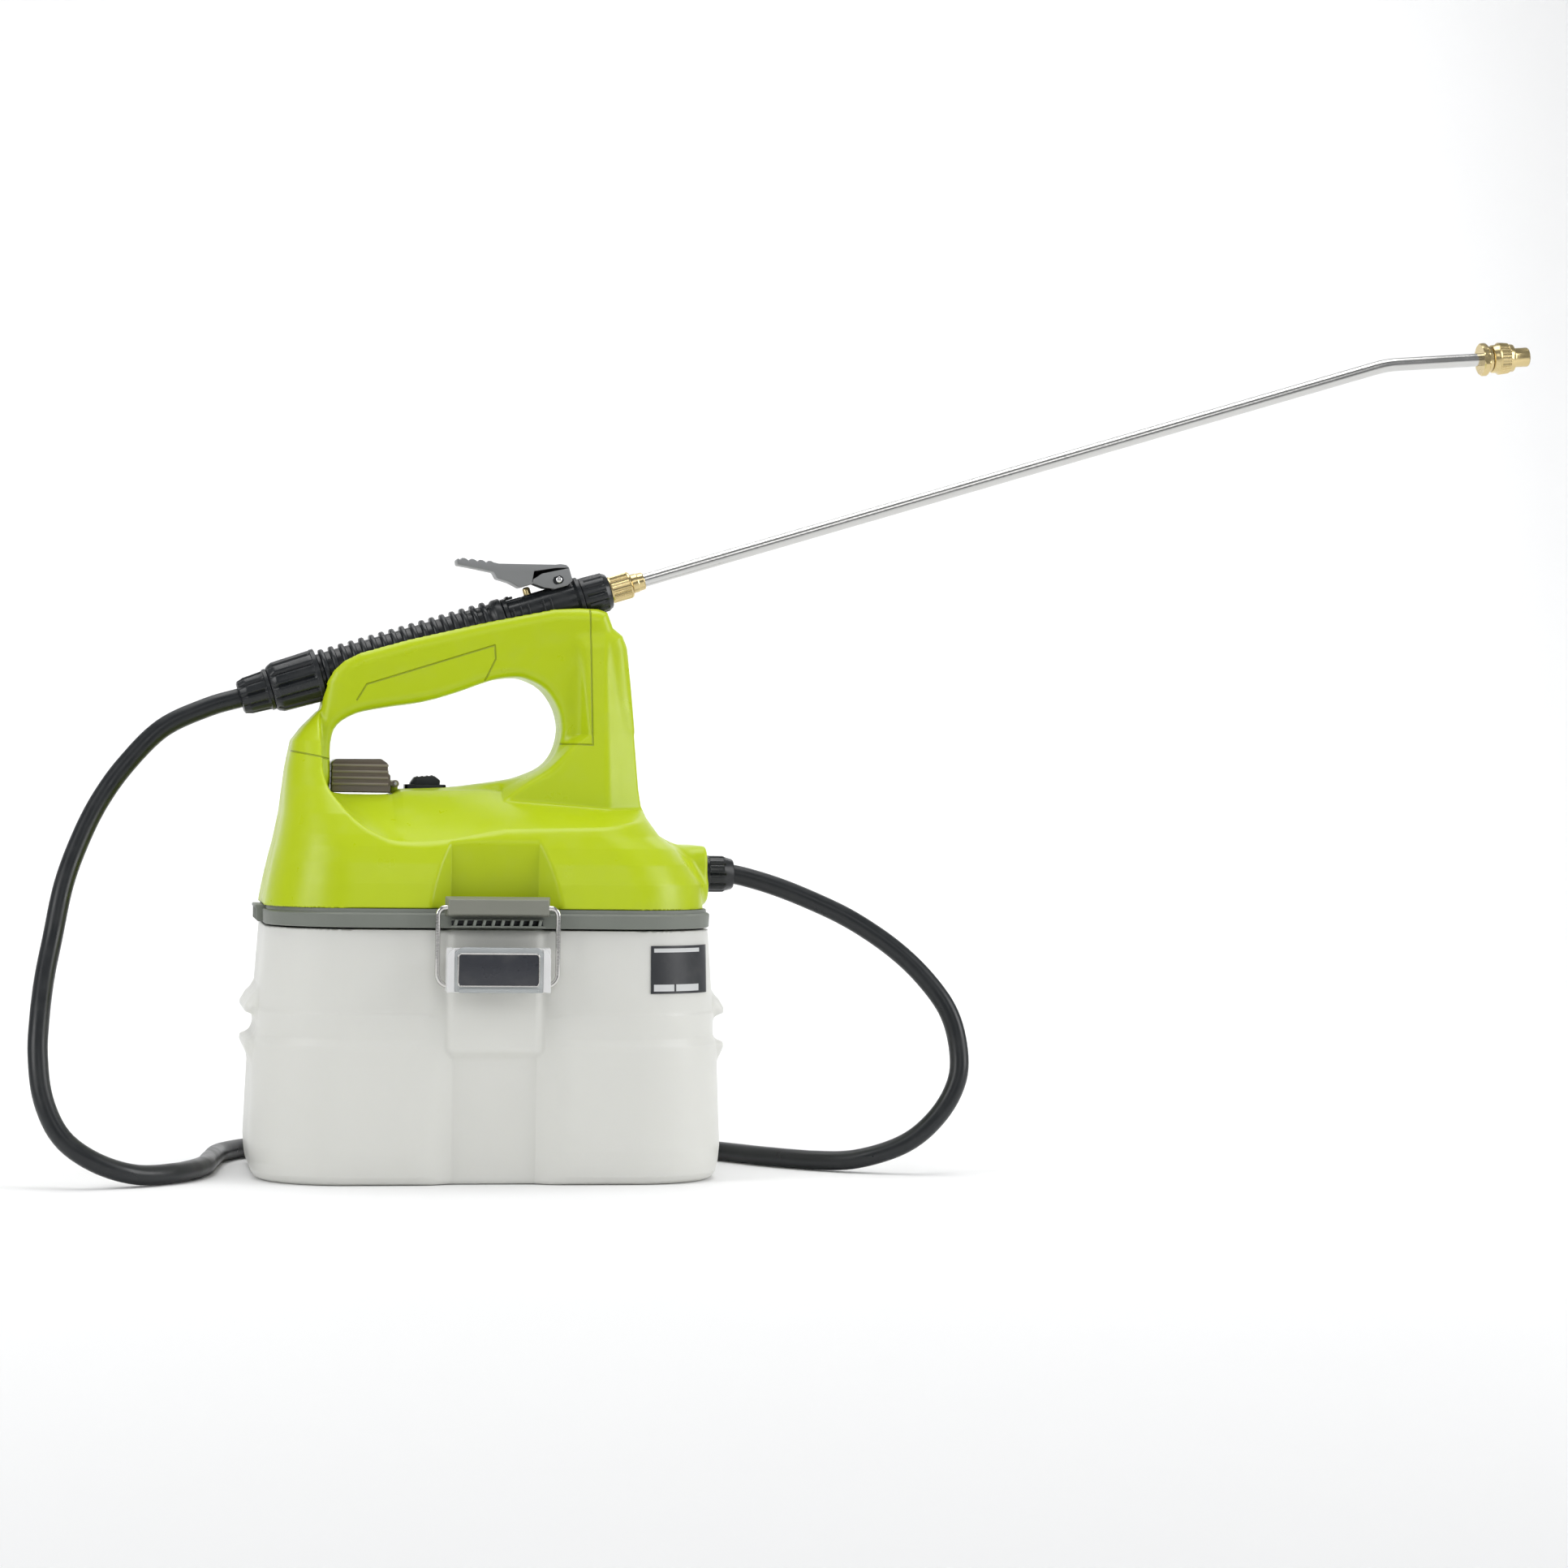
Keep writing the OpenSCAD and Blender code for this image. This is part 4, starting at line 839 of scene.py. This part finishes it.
# ------------------------------------------------------------------ battery door, battery, switch
g = Geo()
v, f = prism([(-79.0, 194.6), (-79.0, 210.2), (-77.2, 211.7), (-54.0, 212.0), (-50.6, 209.6), (-50.4, 204.6), (-49.2, 203.6), (-49.2, 194.6)], 30.6, 1.5, 4)
g.add(v, f, frame_at((0, -1.0, 0), (1, 0, 0), (0, 1, 0), (0, 0, 1)))
make("BatteryDoor", g.v, g.f, M_smoke, body="door", replaces=["battery_door"], sharp=40)
g = Geo()
for z in (199.0, 202.2, 205.4, 208.6):
    v, f = prism([(-79.1, z - 0.7), (-79.1, z + 0.7), (-50.3, z + 0.7), (-50.3, z - 0.7)], 31.3, 0.45, 2)
    g.add(v, f, frame_at((0, -1.0, 0), (1, 0, 0), (0, 1, 0), (0, 0, 1)))
for yy in (-9, 9):
    cyl, cf = lathe([(-3, 1.5), (-2.7, 1.9), (2.7, 1.9), (3, 1.5)], 24)
    g.add(cyl, cf, frame_at((-46.4, yy, 199.4), (0, 1, 0), (-1, 0, 0), (0, 0, 1)))
    g.add(*rbox((-48.0, yy, 199.5), (2.8, 5.8, 2.2), 0.4))
make("BatteryDoorRibs", g.v, g.f, M_smoke2, body="door", sharp=40)
v, f = lathe([(-12.4, 0.7), (-12.2, 0.9), (12.2, 0.9), (12.4, 0.7)], 20)
g = Geo().add(v, f, frame_at((-46.4, 0, 199.4), (0, 1, 0), (-1, 0, 0), (0, 0, 1)))
make("DoorPin", g.v, g.f, M_steel, replaces=["door_pin"])
# lug that holds the door pin
g = Geo().add(*rbox((-46.4, 0, 196.3), (3.5, 10.6, 6.2), 0.4))
cyl, cf = lathe([(-5.3, 1.6), (-5.0, 1.9), (5.0, 1.9), (5.3, 1.6)], 24)
g.add(cyl, cf, frame_at((-46.4, 0, 199.4), (0, 1, 0), (-1, 0, 0), (0, 0, 1)))
make("DoorLug", g.v, g.f, M_green, sharp=35)
g = Geo(); g.add(*rbox((-70, 0, 156), (52, 52, 36), 3)); g.add(*rbox((-63, 0, 181), (22, 26, 13.6), 1.5))
make("Battery", g.v, g.f, M_black, replaces=["battery_pack"])
g = Geo()
for y in (-8, 0, 8):
    g.add(*rbox((-63, y, 188.5), (14, 4, 1), 0.2))
make("BatteryContacts", g.v, g.f, M_brass, replaces=["battery_contacts"])
g = Geo()
g.add(*rbox((-30.5, -5.2, 193), (21, 1.6, 12.4), 0.4)); g.add(*rbox((-30.5, 5.2, 193), (21, 1.6, 12.4), 0.4))
g.add(*rbox((-40.2, 0, 193), (1.6, 12, 12.4), 0.4)); g.add(*rbox((-20.8, 0, 193), (1.6, 12, 12.4), 0.4)); g.add(*rbox((-30.5, 0, 188), (20, 11, 2.4), 0.4))
make("SwitchFrame", g.v, g.f, M_black, replaces=["switch_housing"])
v, f = prism([(-7.4, 0.5), (-7.9, 4.6), (-5.6, 8.0), (4.5, 8.8), (7.8, 6.4), (7.2, 0.5), (3, -2.6), (-3, -2.6)], 8.4, 0.8)
g = Geo().add(v, f, frame_at((-30.5, 0, 195), (1, 0, 0), (0, 1, 0), (0, 0, 1)))
for x in (-4, -1.5, 1, 3.5):
    g.add(*rbox((-30.5 + x, 0, 203.3 + x * 0.08), (0.8, 7, 0.9), 0.3))
make("PowerRocker", g.v, g.f, M_black, body="rocker", replaces=["power_rocker"])

# ------------------------------------------------------------------ motor, pump, pipework (inside)
XF = lambda o: frame_at(o, (1, 0, 0), (0, 1, 0), (0, 0, 1))
v, f = lathe([(-32, 13.6), (-31, 15), (11, 15), (12, 14), (12, 6), (15, 6)], 48)
g = Geo().add(v, f, XF((0, 0, 160)))
make("MotorCan", g.v, g.f, M_zinc, replaces=["motor_can"])
g = Geo(); g.add(*rbox((-9, 0, 141.2), (30, 38, 7), 1)); g.add(*rbox((-9, -16.6, 150), (30, 3.6, 26), 0.8)); g.add(*rbox((-9, 16.6, 150), (30, 3.6, 26), 0.8))
make("MotorCradle", g.v, g.f, M_grey, replaces=["motor_bracket"])
g = Geo(); g.add(*rbox((35.2, 0, 159.5), (40, 36, 36), 2))
v, f = lathe([(55, 5), (62, 5)], 32); g.add(v, f, XF((0, 0, 154.5)))
make("PumpHead", g.v, g.f, M_black, replaces=["pump_head"])
v, f = lathe([(-28, 1.6), (-24, 1.6), (-24, 12.2), (6, 12.2), (6, 1.6), (22.5, 1.6)], 32)
g = Geo().add(v, f, XF((0, 0, 160)))
v, f = lathe([(22.5, 7), (37, 7)], 32); g.add(v, f, XF((0, 0, 162.5)))
make("PumpRotor", g.v, g.f, M_steel, body="rotor", replaces=["pump_rotor"])
ZF = lambda o: frame_at(o, (0, 0, 1), (1, 0, 0), (0, 1, 0))
v, f = ring_lathe([(0, 4), (130.5, 4), (130.5, 2.8), (0, 2.8)], 32)
g = Geo().add(v, f, ZF((42, 0, 16)))
make("IntakeTube", g.v, g.f, M_steel, replaces=["intake_tube"])
v, f = lathe([(0, 10.4), (0.6, 11), (4, 11)] + [(4 + i * 0.8, 11 if i % 2 else 10.2) for i in range(9)] + [(15.4, 11), (16, 10.4)], 40)
g = Geo().add(v, f, ZF((42, 0, 4.5)))
make("IntakeFilter", g.v, g.f, M_black, replaces=["intake_filter"])
v, f = lathe([(62.1, 4.2), (84.9, 4.2)], 24)
g = Geo().add(v, f, XF((0, 0, 154.5)))
make("OutletTube", g.v, g.f, M_tank, replaces=["outlet_tube"])


def lobes(n, depth, lo_, hi_, sharp_=2.0, ph=0.0):
    def mod(s, r, a):
        if s < lo_ or s > hi_:
            return r
        k = (0.5 + 0.5 * math.cos(n * a + ph)) ** sharp_
        return r - depth * k
    return mod


# outlet fitting and nut
g = Geo()
v, f = lathe([(85, 6), (113.5, 6), (113.5, 9.5), (113.9, 9.9), (115.3, 9.9), (115.6, 9.5), (115.6, 6), (119, 6)], 64); g.add(v, f, XF((0, 0, 154.5)))
make("OutletFitting", g.v, g.f, M_black, replaces=["outlet_fitting"])
v, f = ring_lathe([(115.7, 9.2), (116.1, 9.6), (118, 9.65), (118.4, 9.5)] + [(118.4 + i, 9.45) for i in range(0, 8)] + [(126.0, 9.3), (126.6, 8.9), (130.2, 7.9), (131, 7.2), (131, 5.2), (119, 5.2), (117, 6.1), (115.7, 6.1)], 120,
                  lobes(10, 1.1, 118.3, 126.1, 6.0))
g = Geo().add(v, f, XF((0, 0, 154.5)))
make("OutletNut", g.v, g.f, M_black, replaces=["outlet_nut"], sharp=30)

# ------------------------------------------------------------------ lance
v, f = ring_lathe([(-110.5, 7.4), (-110.0, 8.4), (-107.0, 9.3)] + [(-106.5 + i, 9.5 + i * 0.06) for i in range(0, 10)] + [(-96.4, 10.2), (-96.1, 10.8), (-94.5, 10.8), (-94.2, 10.4), (-94.2, 4.1), (-104, 4.1), (-104.1, 5.2), (-110.5, 5.2)], 120,
                  lobes(10, 1.2, -107.2, -96.9, 6.0))
g = Geo().add(v, f, LANCE)
make("HoseNut", g.v, g.f, M_black, body="lance", replaces=["hose_nut"], sharp=30)
v, f = ring_lathe([(-94, 11.0), (-93.2, 11.8), (-90.9, 13.0)] + [(-90.5 + i, 13.1 + i * 0.03) for i in range(0, 20)] + [(-70.6, 13.6), (-70.2, 13.9), (-68.4, 13.9), (-68.0, 13.5), (-68, 5.7), (-94, 5.7)], 144,
                  lobes(12, 1.35, -91.2, -70.7, 7.0))
g = Geo().add(v, f, LANCE)
make("GripNut", g.v, g.f, M_black, body="lance", replaces=["grip_nut"], sharp=30)
v, f = ring_lathe([(-103.9, 4), (-94.1, 4), (-94.1, 5.6), (31.2, 5.6), (31.2, 3), (-103.9, 3)], 32)
g = Geo().add(v, f, LANCE)
make("LanceCore", g.v, g.f, M_black, body="lance", replaces=["lance_core"])
pr = [(-67.9, 9.6), (-67.5, 10.6)]
for i in range(17):
    a = -66 + i * 5.4
    pr += [(a - 0.15, 10.6), (a, 10.9), (a + 0.15, 12.0), (a + 0.65, 12.45), (a + 1.45, 12.5), (a + 2.25, 12.45), (a + 2.75, 12.0), (a + 2.9, 10.9), (a + 3.05, 10.6)]
pr += [(25.4, 10.6), (26.4, 11.7), (27.2, 12.1), (30.6, 12.1), (31.1, 11.6), (31.1, 5.7), (-67.9, 5.7)]
v, f = ring_lathe(pr, 72)
g = Geo().add(v, f, LANCE)
make("LanceGrip", g.v, g.f, M_black, body="lance", replaces=["lance_grip"], sharp=50)
g = Geo()
v, f = ring_lathe([(31.2, 10.4), (31.8, 11.2), (33.6, 11.2), (34.2, 10.6), (34.6, 9.7), (50, 9.6), (55, 9.9), (69.6, 9.9), (70.6, 11.0), (71.0, 11.6), (72.6, 11.6), (73, 11.2), (73, 2.6), (31.2, 2.6)], 72)
g.add(v, f, LANCE)
v, f = lathe([(0, 4.6), (8.4, 4.6), (9.2, 4.2), (9.7, 3.4)], 40); g.add(v, f, LANCE @ frame_at((46.5, 0, 0), (0, 0, 1), (1, 0, 0), (0, 1, 0)))
g.add(*rbox((63.6, 0, 6.2), (10, 11.0, 12.6), 0.8), LANCE)
v, f = lathe([(-5.5, 3.0), (-5.1, 3.4), (5.1, 3.4), (5.5, 3.0)], 40); g.add(v, f, LANCE @ frame_at((63.5, 0, 12.6), (0, 1, 0), (-1, 0, 0), (0, 0, 1)))
g.add(*rbox((37.8, 0, 5), (9.4, 9.8, 9.4), 0.8), LANCE)
g.add(*rbox((57, 0, 7.5), (26, 4.0, 5.0), 0.8), LANCE)
for sx in (36, 40, 44, 52, 56):
    g.add(*rbox((sx, 0, 0), (1.2, 20.4, 10), 0.4), LANCE)
make("ValveBody", g.v, g.f, M_black, body="lance", replaces=["valve_body"])
v, f = lathe([(5.2, 2), (12.6, 2), (13.3, 1.7), (13.75, 1.0)], 24)
g = Geo().add(v, f, LANCE @ frame_at((46.5, 0, 0), (0, 0, 1), (1, 0, 0), (0, 1, 0)))
make("ValveStem", g.v, g.f, M_brass, body="stem", replaces=["valve_stem"])
# trigger: wide lever with moulded steps on its finger end and two side cheeks
g = Geo()
top = [(15.6, 36.6), (16.4, 37.7)]
for i in range(4):
    s0 = 17.4 + i * 4.2
    z0 = 37.6 - (s0 - 16) * 0.411
    top += [(s0, z0 - 0.9), (s0 + 1.0, z0 + 0.35), (s0 + 2.6, z0 - 0.35), (s0 + 3.5, z0 - 1.3)]
top += [(36, 29.2), (64, 20.6), (66.5, 20.2), (69.4, 18.9), (70.3, 17.4)]
v, f = prism(top + [(70.4, 16.4), (56, 17.6), (50.8, 16.0), (50.2, 14.3), (43, 14.3), (38.5, 18.6), (33, 22.2), (32.2, 25.9), (24, 30.2), (15.4, 34.6)], 16, 0.45, 2)
g.add(v, f, LANCE)
for m in (-1, 1):
    v, f = prism([(49, 15.0), (50.5, 14.3), (55, 10.8), (60, 8.6), (67, 8.5), (70.3, 10.2), (70.4, 17.6), (64, 19.4), (52, 21.0)], 2.1, 0.5, 2)
    g.add(v, f, LANCE @ frame_at((0, m * 6.95, 0), (1, 0, 0), (0, 1, 0), (0, 0, 1)))
make("Trigger", g.v, g.f, M_trig, body="trigger", replaces=["trigger_lever"], sharp=35)
g = Geo()
for m in (-1, 1):
    v, f = prism([(60.4, 11.6), (61.4, 10.5), (64.6, 10.5), (65.8, 11.6), (65.8, 13.4), (64.6, 14.6), (61.4, 14.6), (60.4, 13.4)], 0.5, 0.15, 1)
    g.add(v, f, LANCE @ frame_at((0, m * 8.0, 0), (1, 0, 0), (0, 1, 0), (0, 0, 1)))
make("TriggerSlotShade", g.v, g.f, M_black, body="trigger")
v, f = lathe([(-8.9, 1.0), (-8.5, 1.5), (8.5, 1.5), (8.9, 1.0)], 28)
g = Geo().add(v, f, LANCE @ frame_at((63.5, 0, 12.6), (0, 1, 0), (-1, 0, 0), (0, 0, 1)))
make("TriggerPin", g.v, g.f, M_steel, body="lance", replaces=["trigger_pin"])
g = Geo(); g.add(*rbox((36.2, 0, 10.55), (3.6, 9.2, 1.3), 0.3), LANCE); g.add(*rbox((35.2, 0, 10.85), (1.6, 9.2, 1.9), 0.4), LANCE)
make("TriggerLock", g.v, g.f, M_black, body="lock", replaces=["trigger_lock"])
v, f = ring_lathe([(73.1, 9.9), (73.6, 10.4), (75.4, 10.5)] + [(75.6 + i * 0.9, 10.5 - i * 0.03) for i in range(0, 11)] + [(85.6, 10.2), (86.4, 9.6), (87.6, 9.0), (88, 8.5), (88, 4.2), (73.1, 4.2)], 140,
                  lobes(14, 0.8, 75.5, 85.3, 6.0))
g = Geo().add(v, f, LANCE)
make("FrontCap", g.v, g.f, M_black, body="lance", replaces=["front_cap"], sharp=30)


def knurl(n, depth, lo_, hi_):
    def mod(s, r, a):
        if s < lo_ or s > hi_:
            return r
        x = (n * a / (2 * math.pi)) % 1.0
        return r - depth * abs(2 * x - 1)
    return mod


v, f = ring_lathe([(88.1, 6.4), (88.5, 6.9), (89.2, 7.0), (89.3, 7.05), (98.6, 7.05), (98.7, 7.0), (99.5, 6.9), (100, 6.3), (100, 3.6), (88.1, 3.6)], 168, knurl(28, 0.5, 89.25, 98.65))
g = Geo().add(v, f, LANCE)
make("GlandNut", g.v, g.f, M_brass, body="lance", replaces=["gland_nut"], sharp=25)
v, f = ring_lathe([(100.1, 4.6), (100.5, 5.0), (103.4, 5.0), (103.9, 4.7), (106.5, 4.6), (107, 4.2), (107, 3.52), (100.1, 3.52)], 48)
g = Geo().add(v, f, LANCE)
make("WandCollar", g.v, g.f, M_brass, body="wand", replaces=["wand_collar"], sharp=25)
R = 60.0
tl = R * math.tan(BEND / 2)
path = [P0 + s * AX for s in np.linspace(76, S_BEND - tl, 60)]
c0 = P0 + (S_BEND - tl) * AX - R * UP
for a in np.linspace(0, BEND, 13)[1:]:
    path.append(c0 + R * (math.cos(a) * UP + math.sin(a) * AX))
path += [NB + s * AXN for s in np.linspace(tl, 56.9, 12)[1:]]
v, f = tube(path, 3.5, n=40, up=(0, 1, 0))
make("Wand", v, f, M_wand, body="wand", sharp=60, replaces=["wand_tube"])
g = Geo()
v, f = ring_lathe([(53, 8.2), (53.5, 8.9), (55.9, 8.9), (56.4, 8.4), (56.4, 7.2), (58.6, 7.0), (59, 6.6), (59, 4.6), (67, 4.6), (67, 1.6), (57, 1.6), (57, 3.52), (53, 3.52)], 72,
                  lambda s, r, a: min(r, 8.3 / math.cos(((a + math.pi / 6) % (math.pi / 3)) - math.pi / 6)) if s < 56.45 and r > 8 else r)
g.add(v, f, NOZ)
make("NozzleBase", g.v, g.f, M_brass, body="wand", replaces=["nozzle_base"], sharp=25)
v, f = ring_lathe([(59.1, 7.0), (59.5, 7.5), (61.6, 7.6), (62.4, 8.0), (63.0, 8.6), (63.2, 8.65), (68.4, 8.2), (68.6, 7.9), (69.4, 7.5), (71.0, 7.4), (71.3, 6.2), (71.8, 5.4), (72.4, 5.2), (79.4, 5.2), (80, 4.8), (80, 3.2), (77.6, 0.9), (68, 0.9), (67.3, 4.65), (59.1, 4.65)], 168, knurl(28, 0.5, 63.1, 68.5))
g = Geo().add(v, f, NOZ)
make("NozzleTip", g.v, g.f, M_brass, body="tip", replaces=["nozzle_tip"], sharp=25)

# ------------------------------------------------------------------ housing screws, in their counterbores at the back
g = Geo()
for x, z in ((56, 262), (60, 222), (-88, 218), (-44, 246.6), (8, 263)):
    Y0 = frame_at((x, 13.5, z), (0, 1, 0), (-1, 0, 0), (0, 0, 1))
    v, f = lathe([(0, 3.0), (1.4, 2.9), (2.0, 2.3), (2.2, 1.6)], 28); g.add(v, f, Y0)
    v, f = lathe([(-20, 1.5), (0, 1.5)], 20); g.add(v, f, Y0)
make("HousingScrews", g.v, g.f, M_steel, replaces=["housing_screws"])
# black crosses on the screw heads: painted shade standing in for the cross recesses
g = Geo()
for x, z in ((56, 262), (60, 222), (-88, 218), (-44, 246.6), (8, 263)):
    g.add(*rbox((x, 15.7, z), (3.4, 0.3, 0.7), 0.05, 1)); g.add(*rbox((x, 15.72, z), (0.7, 0.3, 3.4), 0.05, 1))
make("ScrewCrossShade", g.v, g.f, M_black)

# ------------------------------------------------------------------ stage and light
M_floor = plastic("studio_floor", (0.93, 0.93, 0.93), rough=0.75, var=0.05, bump=0.01, dirt=0.0, mottled=0.004, spec=0.2)
me = bpy.data.meshes.new("Studio")
pts, fc = [], []
prof = [(-4.0, 0.0), (1.2, 0.0)] + [(1.2 + 1.2 * math.sin(rad(a)), 1.2 - 1.2 * math.cos(rad(a))) for a in range(6, 91, 6)] + [(2.4, 4.5)]
for y, z in prof:
    pts += [(-6, y, z - 0.0002), (6, y, z - 0.0002)]
for i in range(len(prof) - 1):
    fc.append([2 * i, 2 * i + 1, 2 * i + 3, 2 * i + 2])
me.from_pydata(pts, [], fc); me.update(); me.shade_smooth()
studio = bpy.data.objects.new("Studio", me); sc.collection.objects.link(studio); me.materials.append(M_floor)
w = bpy.data.worlds.new("world"); sc.world = w; w.use_nodes = True
w.node_tree.nodes["Background"].inputs[0].default_value = (0.96, 0.98, 1.0, 1)
w.node_tree.nodes["Background"].inputs[1].default_value = 0.29


def area(name, pos, target, size_, power, col=(1, 1, 1)):
    l = bpy.data.lights.new(name, "AREA"); l.shape = "RECTANGLE"; l.size, l.size_y = size_; l.energy = power; l.color = col
    o = bpy.data.objects.new(name, l); sc.collection.objects.link(o)
    o.location = pos
    o.rotation_euler = (Vector(target) - Vector(pos)).to_track_quat("-Z", "Y").to_euler()
    return o


area("LeftSoftbox", (-1.7, -0.9, 1.1), (0.0, 0, 0.2), (1.0, 1.3), 16)
area("RightSoftbox", (1.9, -0.7, 0.9), (0.1, 0, 0.2), (1.0, 1.3), 18)
area("TopSoftbox", (0.1, 0.1, 2.0), (0.1, 0, 0.1), (1.6, 1.2), 20)
area("FrontFill", (0.3, -2.6, 1.6), (0.1, 0, 0.2), (1.4, 0.9), 6)
area("BackStrip", (0.4, 1.05, 1.3), (0.1, 1.6, 0.6), (2.4, 0.6), 14)
